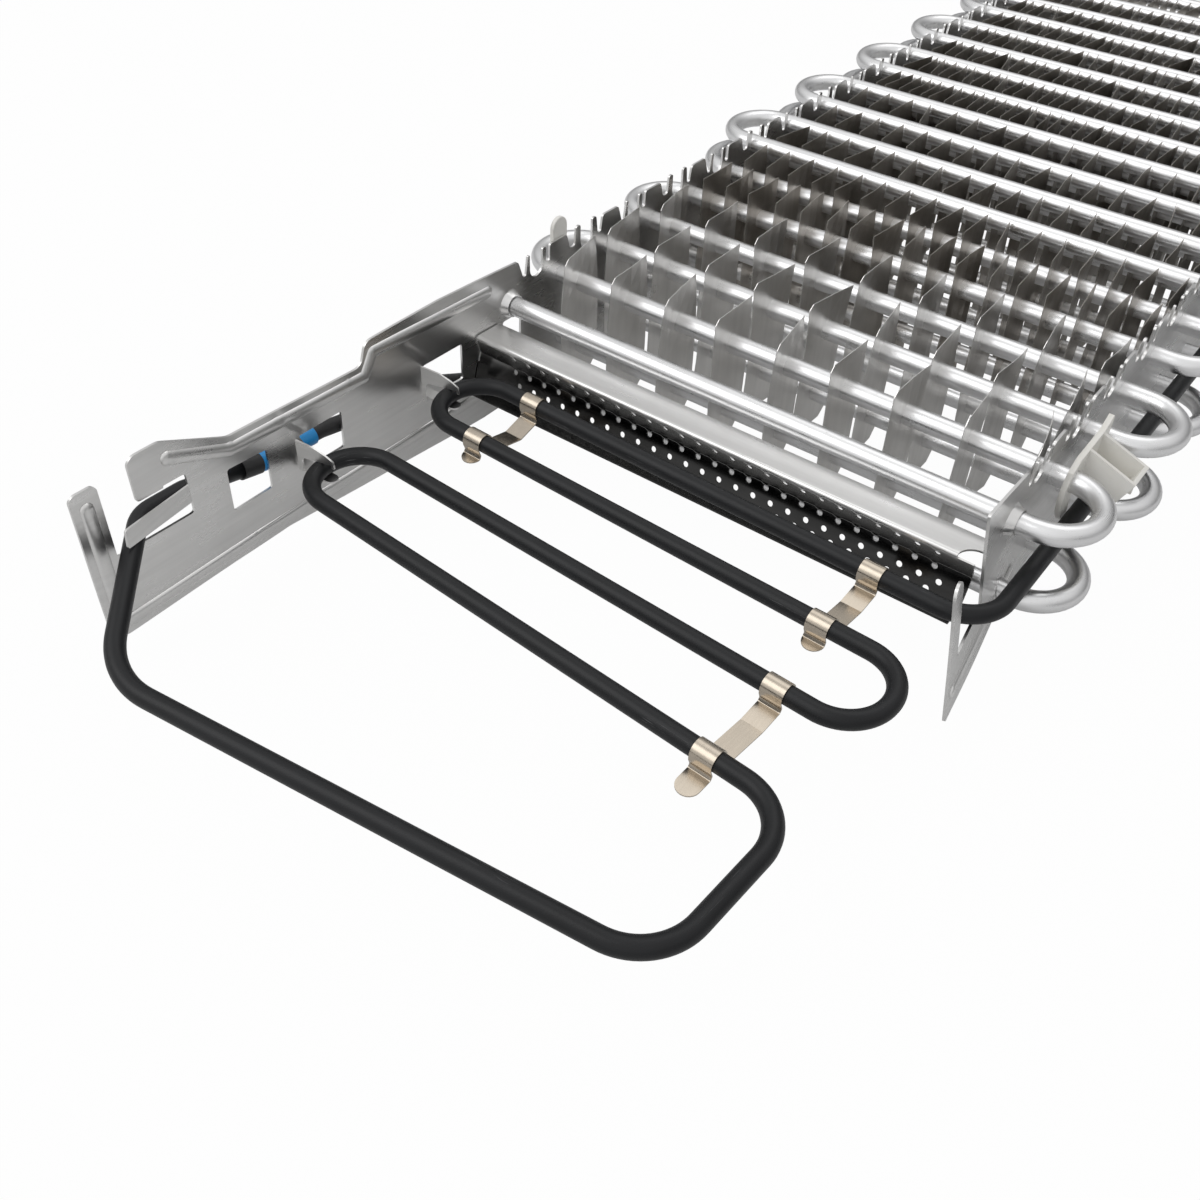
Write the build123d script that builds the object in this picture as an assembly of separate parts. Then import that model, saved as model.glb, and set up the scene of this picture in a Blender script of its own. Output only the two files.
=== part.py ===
from build123d import *
import math
import os

os.makedirs("parts", exist_ok=True)

# Axes: X runs along the tubes, Y from the heater end to the far end of the coil, Z up.
# Sizes below are measured from where the first tube's axis meets the inner face of the left end plate.
# The saved pieces are moved so that the origin is the middle of that plate's foot, below the first tube.

# Coil tube
TUBE_OD = 8.0
TUBE_BORE = 6.4
ROW_PITCH = 33.5
ROW_COUNT = 17
LAYER_DROP = 29.4
UPPER_RISE = 9.8
UPPER_COUNT = 12
FIRST_UPPER = 5.5
LEFT_LEG = 3.0
RIGHT_LEG = 7.5
STUB_REACH = 34.0
STUB_BORE_DEPTH = 20.0

# End plates
PLATE_GAP = 218.0
PLATE_T = 1.0
PLATE_TOP = 16.5
PLATE_FRONT_BOTTOM = -41.0
PLATE_BOTTOM = -46.0
PLATE_END = 562.0
HOLE_PLAY = 0.05
COLLAR_T = 1.0
COLLAR_REACH = 3.0
BEAD_W = 4.5
BEAD_H = 0.8
SLOT_FLOOR = 9.5
NOSE_ANGLE = 12.5
NOSE_HOLE_PLAY = 1.0

# Fins
FIN_T = 0.4
FIN_W = 24.0
FIN_TOP = 15.6
LOW_FIN_TOP = 13.4
FIN_BOTTOM = -45.5
FIN_CHAMFER = 2.2
FIN_BEVEL = 5.0
FIN_FIRST_X = 10.6
FIN_LAST_X = 213.8
FIN_HOLE_PLAY = 0.02
WIDE_PITCH = 25.4
WIDE_SHIFT = {3: -2.5}
WIDE_ROWS = range(2, 5)
MEDIUM_ROWS = range(5, 10)
FIRST_LOW_ROW = 6

# Perforated strip, its folds as (y, z)
STRIP_T = 0.8
STRIP_GAP = 0.5
STRIP_HOLE_D = 2.4
STRIP_HOLE_PITCH = 7.45
STRIP_FIRST_HOLE_X = 16.6
STRIP_HOLE_COUNT = 26
STRIP_FOLDS = [(-7.5, -6.0), (-21.0, -6.0), (-15.2, -13.2), (-20.9, -24.9), (-17.4, -26.9)]
STRIP_BEND_R = 1.0
STRIP_BEVEL_ROWS = [(7.0, 0.0)]
STRIP_FACE_ROWS = [(3.3, 0.3), (7.4, 3.7), (10.6, 0.3)]
TONGUE_START = 4.2
TONGUE_END = 11.2
TONGUE_REACH = 2.0
TONGUE_PLAY = 0.25

# Heater
HEATER_OD = 6.6
HEATER_Z = -15.0
HEATER_ENTRY_Z = -3.0
HEATER_SIDE_X = 231.0
HEATER_FAR_Y = 574.0
HEATER_FAR_X = 60.0
HEATER_OUT_X = -4.9
HEATER_PLAY = 0.05
END_COLLAR_OD = 7.8
END_COLLAR_L = 8.2
END_SLEEVE_OD = 7.2
END_SLEEVE_L = 25.0
LEAD_OD = 6.0
TAB_T = 0.8
TAB_TURN = 15.0
FOOT_W = 5.0

# Clips over two heater runs
CLIP_T = 0.5
CLIP_W = 9.0
CLIP_PLAY = 0.05

# Plastic holders hooked on a tube leg
HOLDER_ROW = 2
HOLDER_PLAY = 0.1
HOLDER_PLATE_T = 2.0
HOLDER_WALL = 1.4
RIGHT_HOLDER_X = 225.2
LEFT_HOLDER_X = -3.6

# Two runs meet without a corner when the cosine between them is under this
STRAIGHT = -0.99999

TUBE_R = TUBE_OD / 2
HEATER_R = HEATER_OD / 2
RIGHT_IN = PLATE_GAP
RIGHT_OUT = PLATE_GAP + PLATE_T
BEND_RIGHT = RIGHT_OUT + RIGHT_LEG
BEND_LEFT = -PLATE_T - LEFT_LEG
TO_FOOT = Pos(PLATE_T / 2, 0, -PLATE_BOTTOM)
WRITTEN = []


def row_y(row):
    return (row - 1) * ROW_PITCH


def upper_y(index):
    return (FIRST_UPPER + index - 1) * ROW_PITCH


def save(name, shape):
    placed = TO_FOOT * shape
    placed.label = name
    export_step(placed, "parts/" + name + ".step")
    WRITTEN.append(name)


# Unit direction from one point to another
def heading(start, end):
    return (end - start).normalized()


# Straight runs between corner points, each corner rounded by a tangent arc
def rounded_edges(corners, radii):
    points = [Vector(*c) for c in corners]
    edges = []
    at = points[0]
    for i in range(1, len(points) - 1):
        back = heading(points[i], points[i - 1])
        ahead = heading(points[i], points[i + 1])
        if back.dot(ahead) < STRAIGHT:
            continue
        half = math.acos(back.dot(ahead)) / 2
        radius = radii[i - 1]
        reach = radius / math.tan(half)
        start = points[i] + back * reach
        end = points[i] + ahead * reach
        middle_way = (back + ahead).normalized()
        middle = points[i] + middle_way * (radius / math.sin(half) - radius)
        if (start - at).length > 1e-3:
            edges.append(Edge.make_line(at, start))
        edges.append(Edge.make_three_point_arc(start, middle, end))
        at = end
    if (points[-1] - at).length > 1e-3:
        edges.append(Edge.make_line(at, points[-1]))
    return edges


# Round bar swept along a chain of edges
def swept(edges, radius):
    path = Wire(edges)
    start = Plane(origin=path @ 0, z_dir=path % 0)
    return sweep(start * Circle(radius), path=path)


# Flat ribbon of one thickness that follows rounded corners in the YZ plane, as wide as x1 - x0
def ribbon(corners, radii, thickness, x0, x1):
    first = offset_chain(corners, radii, -thickness / 2)
    last = offset_chain(corners, radii, thickness / 2)
    end = Edge.make_line(first[-1] @ 1, last[-1] @ 1)
    start = Edge.make_line(last[0] @ 0, first[0] @ 0)
    face = Face(Wire(first + [end] + last + [start]))
    placed = Plane.YZ.offset(x0) * face
    return extrude(placed, amount=x1 - x0, dir=(1, 0, 0))


# One side of a ribbon: the same chain moved sideways, its arcs grown or shrunk
def offset_chain(corners, radii, shift):
    points = [Vector(*c) for c in corners]
    moved = []
    grown = []
    for i, point in enumerate(points):
        if i == 0:
            way = heading(point, points[1])
            moved.append(point + Vector(-way.Y, way.X) * shift)
        elif i == len(points) - 1:
            way = heading(points[i - 1], point)
            moved.append(point + Vector(-way.Y, way.X) * shift)
        else:
            before = heading(points[i - 1], point)
            after = heading(point, points[i + 1])
            mitre = (Vector(-before.Y, before.X) + Vector(-after.Y, after.X)).normalized()
            scale = shift / mitre.dot(Vector(-before.Y, before.X))
            moved.append(point + mitre * scale)
            turn = before.X * after.Y - before.Y * after.X
            grown.append(radii[i - 1] - shift * (1 if turn > 0 else -1))
    return rounded_edges([(p.X, p.Y) for p in moved], grown)


# Prism from an outline in the YZ plane
def yz_prism(points, x0, x1):
    face = make_face(Polyline(*points, close=True))
    placed = Plane.YZ.offset(x0) * face
    return extrude(placed, amount=x1 - x0, dir=(1, 0, 0))


# Prism from an outline in the XY plane
def xy_prism(points, z0, z1):
    face = make_face(Polyline(*points, close=True))
    return Pos(0, 0, z0) * extrude(face, amount=z1 - z0)


# Rod along X
def x_rod(radius, x0, x1, y, z):
    return Pos(x0, y, z) * Rot(0, 90, 0) * extrude(Circle(radius), amount=x1 - x0)


# Half circle that joins two tube runs beyond a plate
def half_turn(x, y0, z0, y1, z1, outward):
    reach = math.hypot(y1 - y0, z1 - z0) / 2
    middle = (x + outward * reach, (y0 + y1) / 2, (z0 + z1) / 2)
    return Edge.make_three_point_arc((x, y0, z0), middle, (x, y1, z1))


# One continuous tube: top rows from the far end to the front, bottom rows back, upper rows to the front
def coil_tube():
    stub_x = RIGHT_OUT + STUB_REACH
    runs = []
    for row in range(ROW_COUNT, 0, -1):
        runs.append((row_y(row), 0.0))
    for row in range(1, ROW_COUNT + 1):
        runs.append((row_y(row), -LAYER_DROP))
    for index in range(UPPER_COUNT, 0, -1):
        runs.append((upper_y(index), UPPER_RISE))
    edges = []
    toward_left = True
    for i, (y, z) in enumerate(runs):
        start_x = BEND_RIGHT if toward_left else BEND_LEFT
        end_x = BEND_LEFT if toward_left else BEND_RIGHT
        if i == 0:
            start_x = stub_x
        if i == len(runs) - 1:
            end_x = stub_x if end_x > 0 else -STUB_REACH
        edges.append(Edge.make_line((start_x, y, z), (end_x, y, z)))
        if i < len(runs) - 1:
            outward = -1 if toward_left else 1
            edges.append(half_turn(end_x, y, z, runs[i + 1][0], runs[i + 1][1], outward))
        toward_left = not toward_left
    tube = swept(edges, TUBE_R)
    for y, z in (runs[0], runs[-1]):
        tube -= x_rod(TUBE_BORE / 2, stub_x - STUB_BORE_DEPTH, stub_x + 1, y, z)
    return tube


# Top edge of an end plate over two rows: notches, slots for the upper tube and fingers
def top_edge(y0):
    top = PLATE_TOP
    high = PLATE_TOP + 1
    slot = TUBE_R + HOLE_PLAY
    first = y0 + ROW_PITCH / 2
    second = y0 + ROW_PITCH * 1.5
    points = [(y0 + 5.5, top), (y0 + 8.4, SLOT_FLOOR - 1), (y0 + 10.2, SLOT_FLOOR - 1), (y0 + 11.6, top)]
    points += [(first - slot, top), (first - slot, UPPER_RISE)]
    points += [(first + slot, UPPER_RISE), (first + slot, top)]
    points += [(y0 + 23.0, top), (y0 + 23.0, SLOT_FLOOR), (y0 + 25.6, SLOT_FLOOR), (y0 + 25.6, top)]
    points += [(y0 + 37.0, top), (y0 + 39.0, SLOT_FLOOR), (y0 + 42.6, SLOT_FLOOR), (y0 + 43.4, high)]
    points += [(second - slot, high), (second - slot, UPPER_RISE)]
    points += [(second + slot, UPPER_RISE), (second + slot, high)]
    points += [(y0 + 57.0, high), (y0 + 58.0, SLOT_FLOOR), (y0 + 60.2, SLOT_FLOOR), (y0 + 61.6, top)]
    return points


# The part of an end plate that the coil passes, as top edge points toward the far end
def coil_top_edge():
    points = []
    pairs = (ROW_COUNT - 1) // 2
    for i in range(pairs):
        points += top_edge(i * 2 * ROW_PITCH)
    last = row_y(2 * pairs + 1)
    points += [p for p in top_edge(last) if p[0] < last + 22.0]
    points += [(PLATE_END, PLATE_TOP)]
    return points


# Holes for both layers, round floors of the upper slots and the collar on the first tube
def pierced(plate, x0, x1, collar_x0, collar_x1):
    hole = TUBE_R + HOLE_PLAY
    plate += x_rod(hole + COLLAR_T, collar_x0, collar_x1, 0, 0)
    cuts = []
    for row in range(1, ROW_COUNT + 1):
        for z in (0.0, -LAYER_DROP):
            cuts.append(x_rod(hole, x0 - 5, x1 + 5, row_y(row), z))
    for index in range(-4, UPPER_COUNT + 1):
        cuts.append(x_rod(hole, x0 - 5, x1 + 5, upper_y(index), UPPER_RISE))
    return plate - cuts


# Raised bead of even width that follows a chain of points on a plate
def bead(points, x0, x1):
    radii = [BEAD_W] * (len(points) - 2)
    return ribbon(points, radii, BEAD_W, x0, x1)


# Left plate: a tall finger and a mouth for the heater in front, then windows, then the coil
def left_plate():
    low = PLATE_FRONT_BOTTOM
    outline = [(-197.0, low), (-202.0, low + 5), (-202.0, 18.5), (-200.0, 20.0), (-193.5, 20.0)]
    outline += [(-192.0, 18.5), (-192.0, -9.4), (-161.5, -9.4), (-161.5, 6.6), (-170.3, 6.6)]
    outline += [(-170.3, 5.8), (-180.5, 5.8), (-180.5, 20.5), (-178.0, 22.5), (-168.0, 22.5)]
    outline += [(-143.0, 11.0), (-84.0, 9.3), (-81.5, 10.8), (-79.5, 16.5), (-77.0, 18.0), (-40.0, 18.5)]
    outline += coil_top_edge()
    outline += [(PLATE_END, PLATE_BOTTOM), (-5.0, PLATE_BOTTOM), (-8.0, low)]
    plate = yz_prism(outline, -PLATE_T, 0)
    windows = [
        [(-146.0, -1.0), (-146.4, -18.4), (-129.1, -18.0), (-128.7, -2.0)],
        [(-114.5, -4.0), (-108.7, -15.8), (-104.0, -19.2), (-94.5, -19.2), (-94.1, -3.8)],
        [(-51.9, -5.0), (-51.0, -10.5), (-44.8, -13.4), (-38.0, -21.0), (-29.5, -21.2), (-29.2, -5.5)],
        [(-4.6, -6.5), (-4.9, -16.0), (6.3, -21.5), (6.7, -6.5)],
    ]
    for window in windows:
        plate -= yz_prism(window, -5, 5)
    slot = (TONGUE_START - TONGUE_PLAY, TONGUE_END + TONGUE_PLAY)
    plate -= strip_tongue(slot, STRIP_T + 2 * TONGUE_PLAY, -5, 5)
    plate = pierced(plate, -PLATE_T, 0, -PLATE_T, COLLAR_REACH)
    beads = [
        [(-166.5, 15.5), (-143.0, 6.0), (-81.0, 4.6), (-76.0, 12.5), (-13.0, 10.5)],
        [(-190.0, -34.0), (-20.0, -34.0)],
        [(-197.0, 13.0), (-197.0, -30.0)],
    ]
    for chain in beads:
        plate += bead(chain, -PLATE_T / 2, BEAD_H)
    plate += heater_tongue()
    plate += hook_tab(-116.0, 12.8, -17.8)
    plate += hook_tab(-52.4, 15.2, -20.4)
    plate += heater_foot(-112.0, 13.5)
    plate += heater_foot(-49.0, 16.0)
    return plate


# Tongue cut from the mouth's rear edge, standing off over the heater
def heater_tongue():
    stand = 7.2
    inner = [(-PLATE_T / 2, -161.0), (-PLATE_T / 2, -162.5), (stand, -176.0), (stand, -190.5)]
    outer = [(stand + TAB_T, -190.5), (stand + TAB_T, -175.6), (TAB_T / 2, -161.0)]
    return xy_prism(inner + outer, -2.6, 3.6)


# Tab bent out of the plate along a slit, lying over the heater's turn with a hook behind it
def hook_tab(y, tip, foot):
    rest = HEATER_Z + HEATER_R + 0.1
    root = -PLATE_T / 2
    corners = [(root, rest + 6), (tip - 0.5, rest + 1), (tip, rest - 1.4), (tip - 0.9, rest - 1.4)]
    corners += [(tip - 1.2, rest), (2.6, rest), (1.6, rest - 1.4), (1.6, foot), (root, foot)]
    face = make_face(Polyline(*corners, close=True))
    web = extrude(Plane.XZ * face, amount=TAB_T / 2, both=True)
    return Pos(0, y, 0) * Rot(0, 0, TAB_TURN) * web


# Round-ended foot under the heater's turn
def heater_foot(y, tip):
    top = HEATER_Z - HEATER_R - HEATER_PLAY
    straight = tip - FOOT_W / 2 + PLATE_T / 2
    arm = Pos(straight / 2 - PLATE_T / 2, y, top - TAB_T / 2) * Box(straight, FOOT_W, TAB_T)
    return arm + Pos(tip - FOOT_W / 2, y, top - TAB_T / 2) * Cylinder(FOOT_W / 2, TAB_T)


# Right plate: the coil part stands upright, its front corner leans outward about a slanting fold
def right_plate():
    fold_top = (-24.5, PLATE_TOP)
    fold_low = (38.0, PLATE_BOTTOM)
    outline = [fold_top] + coil_top_edge() + [(PLATE_END, PLATE_BOTTOM), fold_low]
    plate = yz_prism(outline, RIGHT_IN, RIGHT_OUT)
    plate = pierced(plate, RIGHT_IN, RIGHT_OUT, RIGHT_IN, RIGHT_OUT + COLLAR_REACH)
    middle = (RIGHT_IN + RIGHT_OUT) / 2
    low = Vector(middle, *fold_low)
    high = Vector(middle, *fold_top)
    way = heading(low, high)
    inset = way * PLATE_T
    crease = swept([Edge.make_line(low + inset, high - inset)], PLATE_T / 2)
    return plate + crease + right_nose(fold_top, fold_low).rotate(Axis(low, way), NOSE_ANGLE) - nose_hole()


# Front corner of the right plate before it is bent: a finger and the mouth that the heater leaves by
def right_nose(fold_top, fold_low):
    low = PLATE_FRONT_BOTTOM
    outline = [fold_low, (5.0, PLATE_BOTTOM), (2.0, low), (-58.0, low), (-58.0, 12.0), (-56.5, 14.0)]
    outline += [(-52.5, 14.0), (-51.0, 12.0), (-51.0, -21.0), (-25.0, -21.0), (-25.0, PLATE_TOP - 0.5), fold_top]
    nose = yz_prism(outline, RIGHT_IN, RIGHT_OUT)
    return nose + bead([(-52.0, -34.0), (15.0, -34.0)], RIGHT_IN + PLATE_T / 2, RIGHT_OUT + BEAD_H)


# Clearance round the first lower tube in the leaning corner
def nose_hole():
    return x_rod(TUBE_R + NOSE_HOLE_PLAY, RIGHT_IN - 5, RIGHT_OUT + 15, 0, -LAYER_DROP)


# Fin with closed openings for both tube layers, each six-sided and touching the tube
def closed_fin(top):
    half = FIN_W / 2
    low = FIN_BOTTOM
    outline = [(-half, low + FIN_BEVEL), (-half + FIN_BEVEL, low), (half - FIN_BEVEL, low)]
    outline += [(half, low + FIN_BEVEL), (half, top), (-half + FIN_CHAMFER, top), (-half, top - FIN_CHAMFER)]
    fin = yz_prism(outline, -FIN_T / 2, FIN_T / 2)
    sides = 6
    across = (TUBE_R + FIN_HOLE_PLAY) / math.cos(math.pi / sides)
    turns = [2 * math.pi * k / sides for k in range(sides)]
    corners = [(across * math.cos(a), across * math.sin(a)) for a in turns]
    for z in (0.0, -LAYER_DROP):
        fin -= yz_prism([(y, z + dz) for y, dz in corners], -1, 1)
    return fin


# Fin slotted from below, pushed over both tubes
def slotted_fin(top):
    half = FIN_W / 2
    slot = TUBE_R + FIN_HOLE_PLAY
    outline = [(-half, FIN_BOTTOM), (-slot, FIN_BOTTOM), (-slot, slot), (slot, slot), (slot, FIN_BOTTOM)]
    outline += [(half, FIN_BOTTOM), (half, top), (-half, top)]
    return yz_prism(outline, -FIN_T / 2, FIN_T / 2)


def fin_places(row):
    count = int(round((FIN_LAST_X - FIN_FIRST_X) / WIDE_PITCH))
    split = 1 if row in WIDE_ROWS else 2 if row in MEDIUM_ROWS else 4
    pitch = WIDE_PITCH / split
    shift = WIDE_SHIFT.get(row, 0.0)
    return [FIN_FIRST_X + shift + pitch * k for k in range(count * split + 1)]


def fin_row(row):
    top = FIN_TOP if row < FIRST_LOW_ROW else LOW_FIN_TOP
    fin = closed_fin(top) if row in WIDE_ROWS else slotted_fin(top)
    fins = [Pos(x, row_y(row), 0) * fin for x in fin_places(row)]
    return Compound(children=fins)


# Point in the YZ plane at a distance from a fold of the strip toward the next fold
def strip_point(fold, distance):
    start = Vector(*STRIP_FOLDS[fold])
    end = Vector(*STRIP_FOLDS[fold + 1])
    return start + heading(start, end) * distance


# Flat tongue in line with the strip's face, used for the tongue and for the slot that takes it
def strip_tongue(span, thickness, x0, x1):
    ends = [strip_point(2, distance) for distance in span]
    return ribbon([(p.X, p.Y) for p in ends], [], thickness, x0, x1)


# Folded strip between heater and coil, drilled in four rows, its tongue through the left plate
def perforated_strip():
    x0 = STRIP_GAP
    x1 = PLATE_GAP - STRIP_GAP
    strip = ribbon(STRIP_FOLDS, [STRIP_BEND_R] * 3, STRIP_T, x0, x1)
    strip += strip_tongue((TONGUE_START, TONGUE_END), STRIP_T, -PLATE_T - TONGUE_REACH, x0 + 1)
    holes = []
    for fold, rows in ((1, STRIP_BEVEL_ROWS), (2, STRIP_FACE_ROWS)):
        way = strip_point(fold, 1) - strip_point(fold, 0)
        normal = Vector(0, -way.Y, way.X)
        for distance, shift in rows:
            middle = strip_point(fold, distance)
            for k in range(STRIP_HOLE_COUNT):
                x = STRIP_FIRST_HOLE_X + shift + STRIP_HOLE_PITCH * k
                centre = Vector(x, middle.X, middle.Y) - normal * 2
                holes.append(extrude(Plane(origin=centre, z_dir=normal) * Circle(STRIP_HOLE_D / 2), amount=4))
    return strip - holes


HEATER_CORNERS = [
    (HEATER_OUT_X, -138.0, -7.6),
    (HEATER_OUT_X, -161.0, HEATER_ENTRY_Z),
    (HEATER_OUT_X, -178.5, HEATER_ENTRY_Z),
    (33.5, -224.5, HEATER_Z),
    (222.2, -199.5, HEATER_Z),
    (222.4, -136.7, HEATER_Z),
    (5.4, -125.3, HEATER_Z),
    (5.6, -93.6, HEATER_Z),
    (223.4, -103.0, HEATER_Z),
    (223.6, -69.5, HEATER_Z),
    (8.6, -63.8, HEATER_Z),
    (8.8, -30.4, HEATER_Z),
    (HEATER_SIDE_X, -37.2, HEATER_Z),
    (HEATER_SIDE_X, HEATER_FAR_Y, HEATER_Z),
    (HEATER_FAR_X, HEATER_FAR_Y, HEATER_Z),
]
HEATER_RADII = [12.0, 12.0, 36.0, 18.0, 14.0, 15.0, 15.0, 16.4, 16.4, 16.0, 16.0, 16.0, 16.0]


def defrost_heater():
    return swept(rounded_edges(HEATER_CORNERS, HEATER_RADII), HEATER_R)


# Collar, sleeve and lead that follow each other from one end of the heater
def heater_end(number, end, before, lead):
    start = Vector(*end)
    out = heading(Vector(*before), start)
    collar_end = start + out * END_COLLAR_L
    turn = Vector(*lead[0])
    sleeve_way = heading(collar_end + out * 3, turn)
    sleeve_end = collar_end + out * 3 + sleeve_way * (END_SLEEVE_L - 3)
    lead_turn = sleeve_end + sleeve_way * 4
    collar = swept([Edge.make_line(start, collar_end)], END_COLLAR_OD / 2)
    sleeve_corners = [tuple(collar_end), tuple(collar_end + out * 3), tuple(sleeve_end)]
    sleeve = swept(rounded_edges(sleeve_corners, [10.0]), END_SLEEVE_OD / 2)
    lead_corners = [tuple(sleeve_end), tuple(lead_turn)] + lead[1:]
    lead_tube = swept(rounded_edges(lead_corners, [14.0] * (len(lead_corners) - 2)), LEAD_OD / 2)
    save("heater_end_collar_%d" % number, collar)
    save("heater_end_sleeve_%d" % number, sleeve)
    save("heater_lead_%d" % number, lead_tube)


# Spring clip: a wrap over the rear run, a sagging bridge, a wrap over the front run and a tail
def heater_clip(rear_y, front_y):
    wrap = HEATER_R + CLIP_T / 2 + CLIP_PLAY
    top = HEATER_Z + wrap
    low = HEATER_Z - 5.5
    middle = (rear_y + front_y) / 2
    corners = [(rear_y + 8.0, HEATER_Z - 6.0), (rear_y + wrap, low), (rear_y + wrap, top), (rear_y - wrap, top)]
    corners += [(rear_y - wrap, low), (middle, HEATER_Z - 11.0), (front_y + wrap, low), (front_y + wrap, top)]
    corners += [(front_y - wrap, top), (front_y - wrap, low), (front_y - 6.5, HEATER_Z - 7.5)]
    radii = [1.0, wrap, wrap, 1.0, 3.0, 1.0, wrap, wrap, 1.0]
    return ribbon(corners, radii, CLIP_T, -CLIP_W / 2, CLIP_W / 2)


# Y of a heater run at a given X, between two corners of its route, and the run's slope
def run_at(first, x):
    x0, y0 = HEATER_CORNERS[first][:2]
    x1, y1 = HEATER_CORNERS[first + 1][:2]
    slope = (y1 - y0) / (x1 - x0)
    return y0 + slope * (x - x0), slope


# Clip turned square to the two runs that it holds
def placed_clip(x, rear, front):
    rear_y, rear_slope = run_at(rear, x)
    front_y, front_slope = run_at(front, x)
    turn = math.atan((rear_slope + front_slope) / 2)
    half = (rear_y - front_y) / 2 * math.cos(turn)
    clip = heater_clip(half, -half)
    return Pos(x, (rear_y + front_y) / 2, 0) * Rot(0, 0, math.degrees(turn)) * clip


# Gripping mouth and round seat that take a tube leg, cut through a holder
def leg_seat(x0, x1, mouth):
    seat = x_rod(TUBE_R + HOLDER_PLAY, x0, x1, row_y(HOLDER_ROW), 0)
    return seat + yz_prism(mouth, x0, x1)


# Right holder: a hooked plate on a tube leg and an open wedge-shaped cup that stands outward
def right_holder():
    y = row_y(HOLDER_ROW)
    x0 = RIGHT_HOLDER_X
    x1 = x0 + HOLDER_PLATE_T
    outline = [(y + 27.5, 13.0), (y + 21.2, 9.6), (y + 1.0, 8.6), (y - 4.6, 5.6), (y - 7.0, 0.0)]
    outline += [(y - 6.6, -6.0), (y - 3.6, -12.5), (y + 1.0, -17.5), (y + 5.0, -16.5), (y + 3.5, -11.0)]
    outline += [(y + 2.5, -7.0), (y + 25.0, -7.0), (y + 29.0, 4.0), (y + 29.0, 11.5)]
    mouth = [(y, 0.0), (y + 4.0, 0.0), (y + 7.0, -8.0), (y + 2.4, -8.0)]
    plate = yz_prism(outline, x0, x1) - leg_seat(x0 - 1, x1 + 1, mouth)
    cup_front = y + 8.0
    cup_rear = y + 22.0
    reach = 18.0
    side = [(x1 - 0.5, 9.0), (x1 - 0.5, -7.0), (x1 + reach - 4, -7.0), (x1 + reach, 2.0)]
    cup = extrude(Plane.XZ.offset(-cup_rear) * make_face(Polyline(*side, close=True)), amount=cup_rear - cup_front)
    hollow = [(x1, 12.0), (x1, -5.6), (x1 + reach - 5, -5.6), (x1 + reach - 1.2, 3.0), (x1 + reach - 1.2, 12.0)]
    inner = cup_rear - cup_front - 2 * HOLDER_WALL
    cup -= extrude(Plane.XZ.offset(-cup_rear + HOLDER_WALL) * make_face(Polyline(*hollow, close=True)), amount=inner)
    rib = Pos(x1 + reach / 2, y + 15.0, -4.0) * Box(reach - 3, HOLDER_WALL, 4.0)
    return plate + cup + rib


# Left holder: a round-topped tab hooked on the same row's leg
def left_holder():
    y = row_y(HOLDER_ROW)
    x0 = LEFT_HOLDER_X
    x1 = x0 + HOLDER_PLATE_T
    round_r = 4.5
    centre_y = y + 1.0
    low = [(y - 6.5, -9.0), (y - 6.5, 6.0), (centre_y - round_r, 9.0), (centre_y - round_r, 20.0)]
    high = [(centre_y + round_r, 20.0), (centre_y + round_r, 9.0), (y + 7.5, 6.0), (y + 7.5, -9.0)]
    tab = yz_prism(low + high, x0, x1) + x_rod(round_r, x0, x1, centre_y, 20.0)
    mouth = [(y - 3.0, 0.0), (y - 3.6, -10.0), (y + 3.6, -10.0), (y + 3.0, 0.0)]
    return tab - leg_seat(x0 - 1, x1 + 1, mouth)


save("coil_tube", coil_tube())
save("left_end_plate", left_plate())
save("right_end_plate", right_plate())
for row_number in range(2, ROW_COUNT + 1):
    save("fin_row_%02d" % row_number, fin_row(row_number))
save("perforated_strip", perforated_strip())
save("defrost_heater", defrost_heater())
save("heater_clip_1", placed_clip(38.5, 11, 9))
save("heater_clip_2", placed_clip(187.0, 11, 9))
save("heater_clip_3", placed_clip(191.0, 7, 5))
near_lead = [(HEATER_OUT_X, -105.0, -10.6), (HEATER_OUT_X, -91.0, -12.6)]
near_lead += [(HEATER_OUT_X, -40.0, -20.0), (HEATER_OUT_X, -22.0, -27.5)]
heater_end(1, HEATER_CORNERS[0], HEATER_CORNERS[1], near_lead)
far_lead = [(HEATER_FAR_X - 60, HEATER_FAR_Y, HEATER_Z), (0.0, HEATER_FAR_Y, HEATER_Z - 4)]
heater_end(2, HEATER_CORNERS[-1], HEATER_CORNERS[-2], far_lead)
save("holder_right", right_holder())
save("holder_left", left_holder())
print("written", len(WRITTEN))
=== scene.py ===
import bpy
import numpy as np
from bpy.props import FloatProperty, FloatVectorProperty, IntProperty, PointerProperty
from mathutils import Matrix, Vector
from mathutils.geometry import delaunay_2d_cdt


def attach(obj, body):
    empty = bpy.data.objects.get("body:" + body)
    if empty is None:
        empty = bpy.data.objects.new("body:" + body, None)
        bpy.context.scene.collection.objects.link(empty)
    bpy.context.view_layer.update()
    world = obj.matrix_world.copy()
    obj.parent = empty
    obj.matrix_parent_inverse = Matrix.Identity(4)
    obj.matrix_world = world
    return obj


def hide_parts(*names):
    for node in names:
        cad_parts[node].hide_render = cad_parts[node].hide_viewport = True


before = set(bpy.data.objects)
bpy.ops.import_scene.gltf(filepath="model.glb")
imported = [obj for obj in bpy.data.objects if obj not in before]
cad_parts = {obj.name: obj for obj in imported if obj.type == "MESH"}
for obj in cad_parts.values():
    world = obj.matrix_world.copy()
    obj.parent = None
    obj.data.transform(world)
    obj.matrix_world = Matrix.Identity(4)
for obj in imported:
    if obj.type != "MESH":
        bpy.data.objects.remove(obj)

bl_info = {
    "name": "Refrigerator Evaporator",
    "version": (1, 0, 0),
    "blender": (4, 5, 0),
    "location": "View3D > Sidebar > Evaporator",
    "description": "Dresses the solids of a refrigerator evaporator with fine surfaces",
    "category": "Add Mesh",
}

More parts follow.
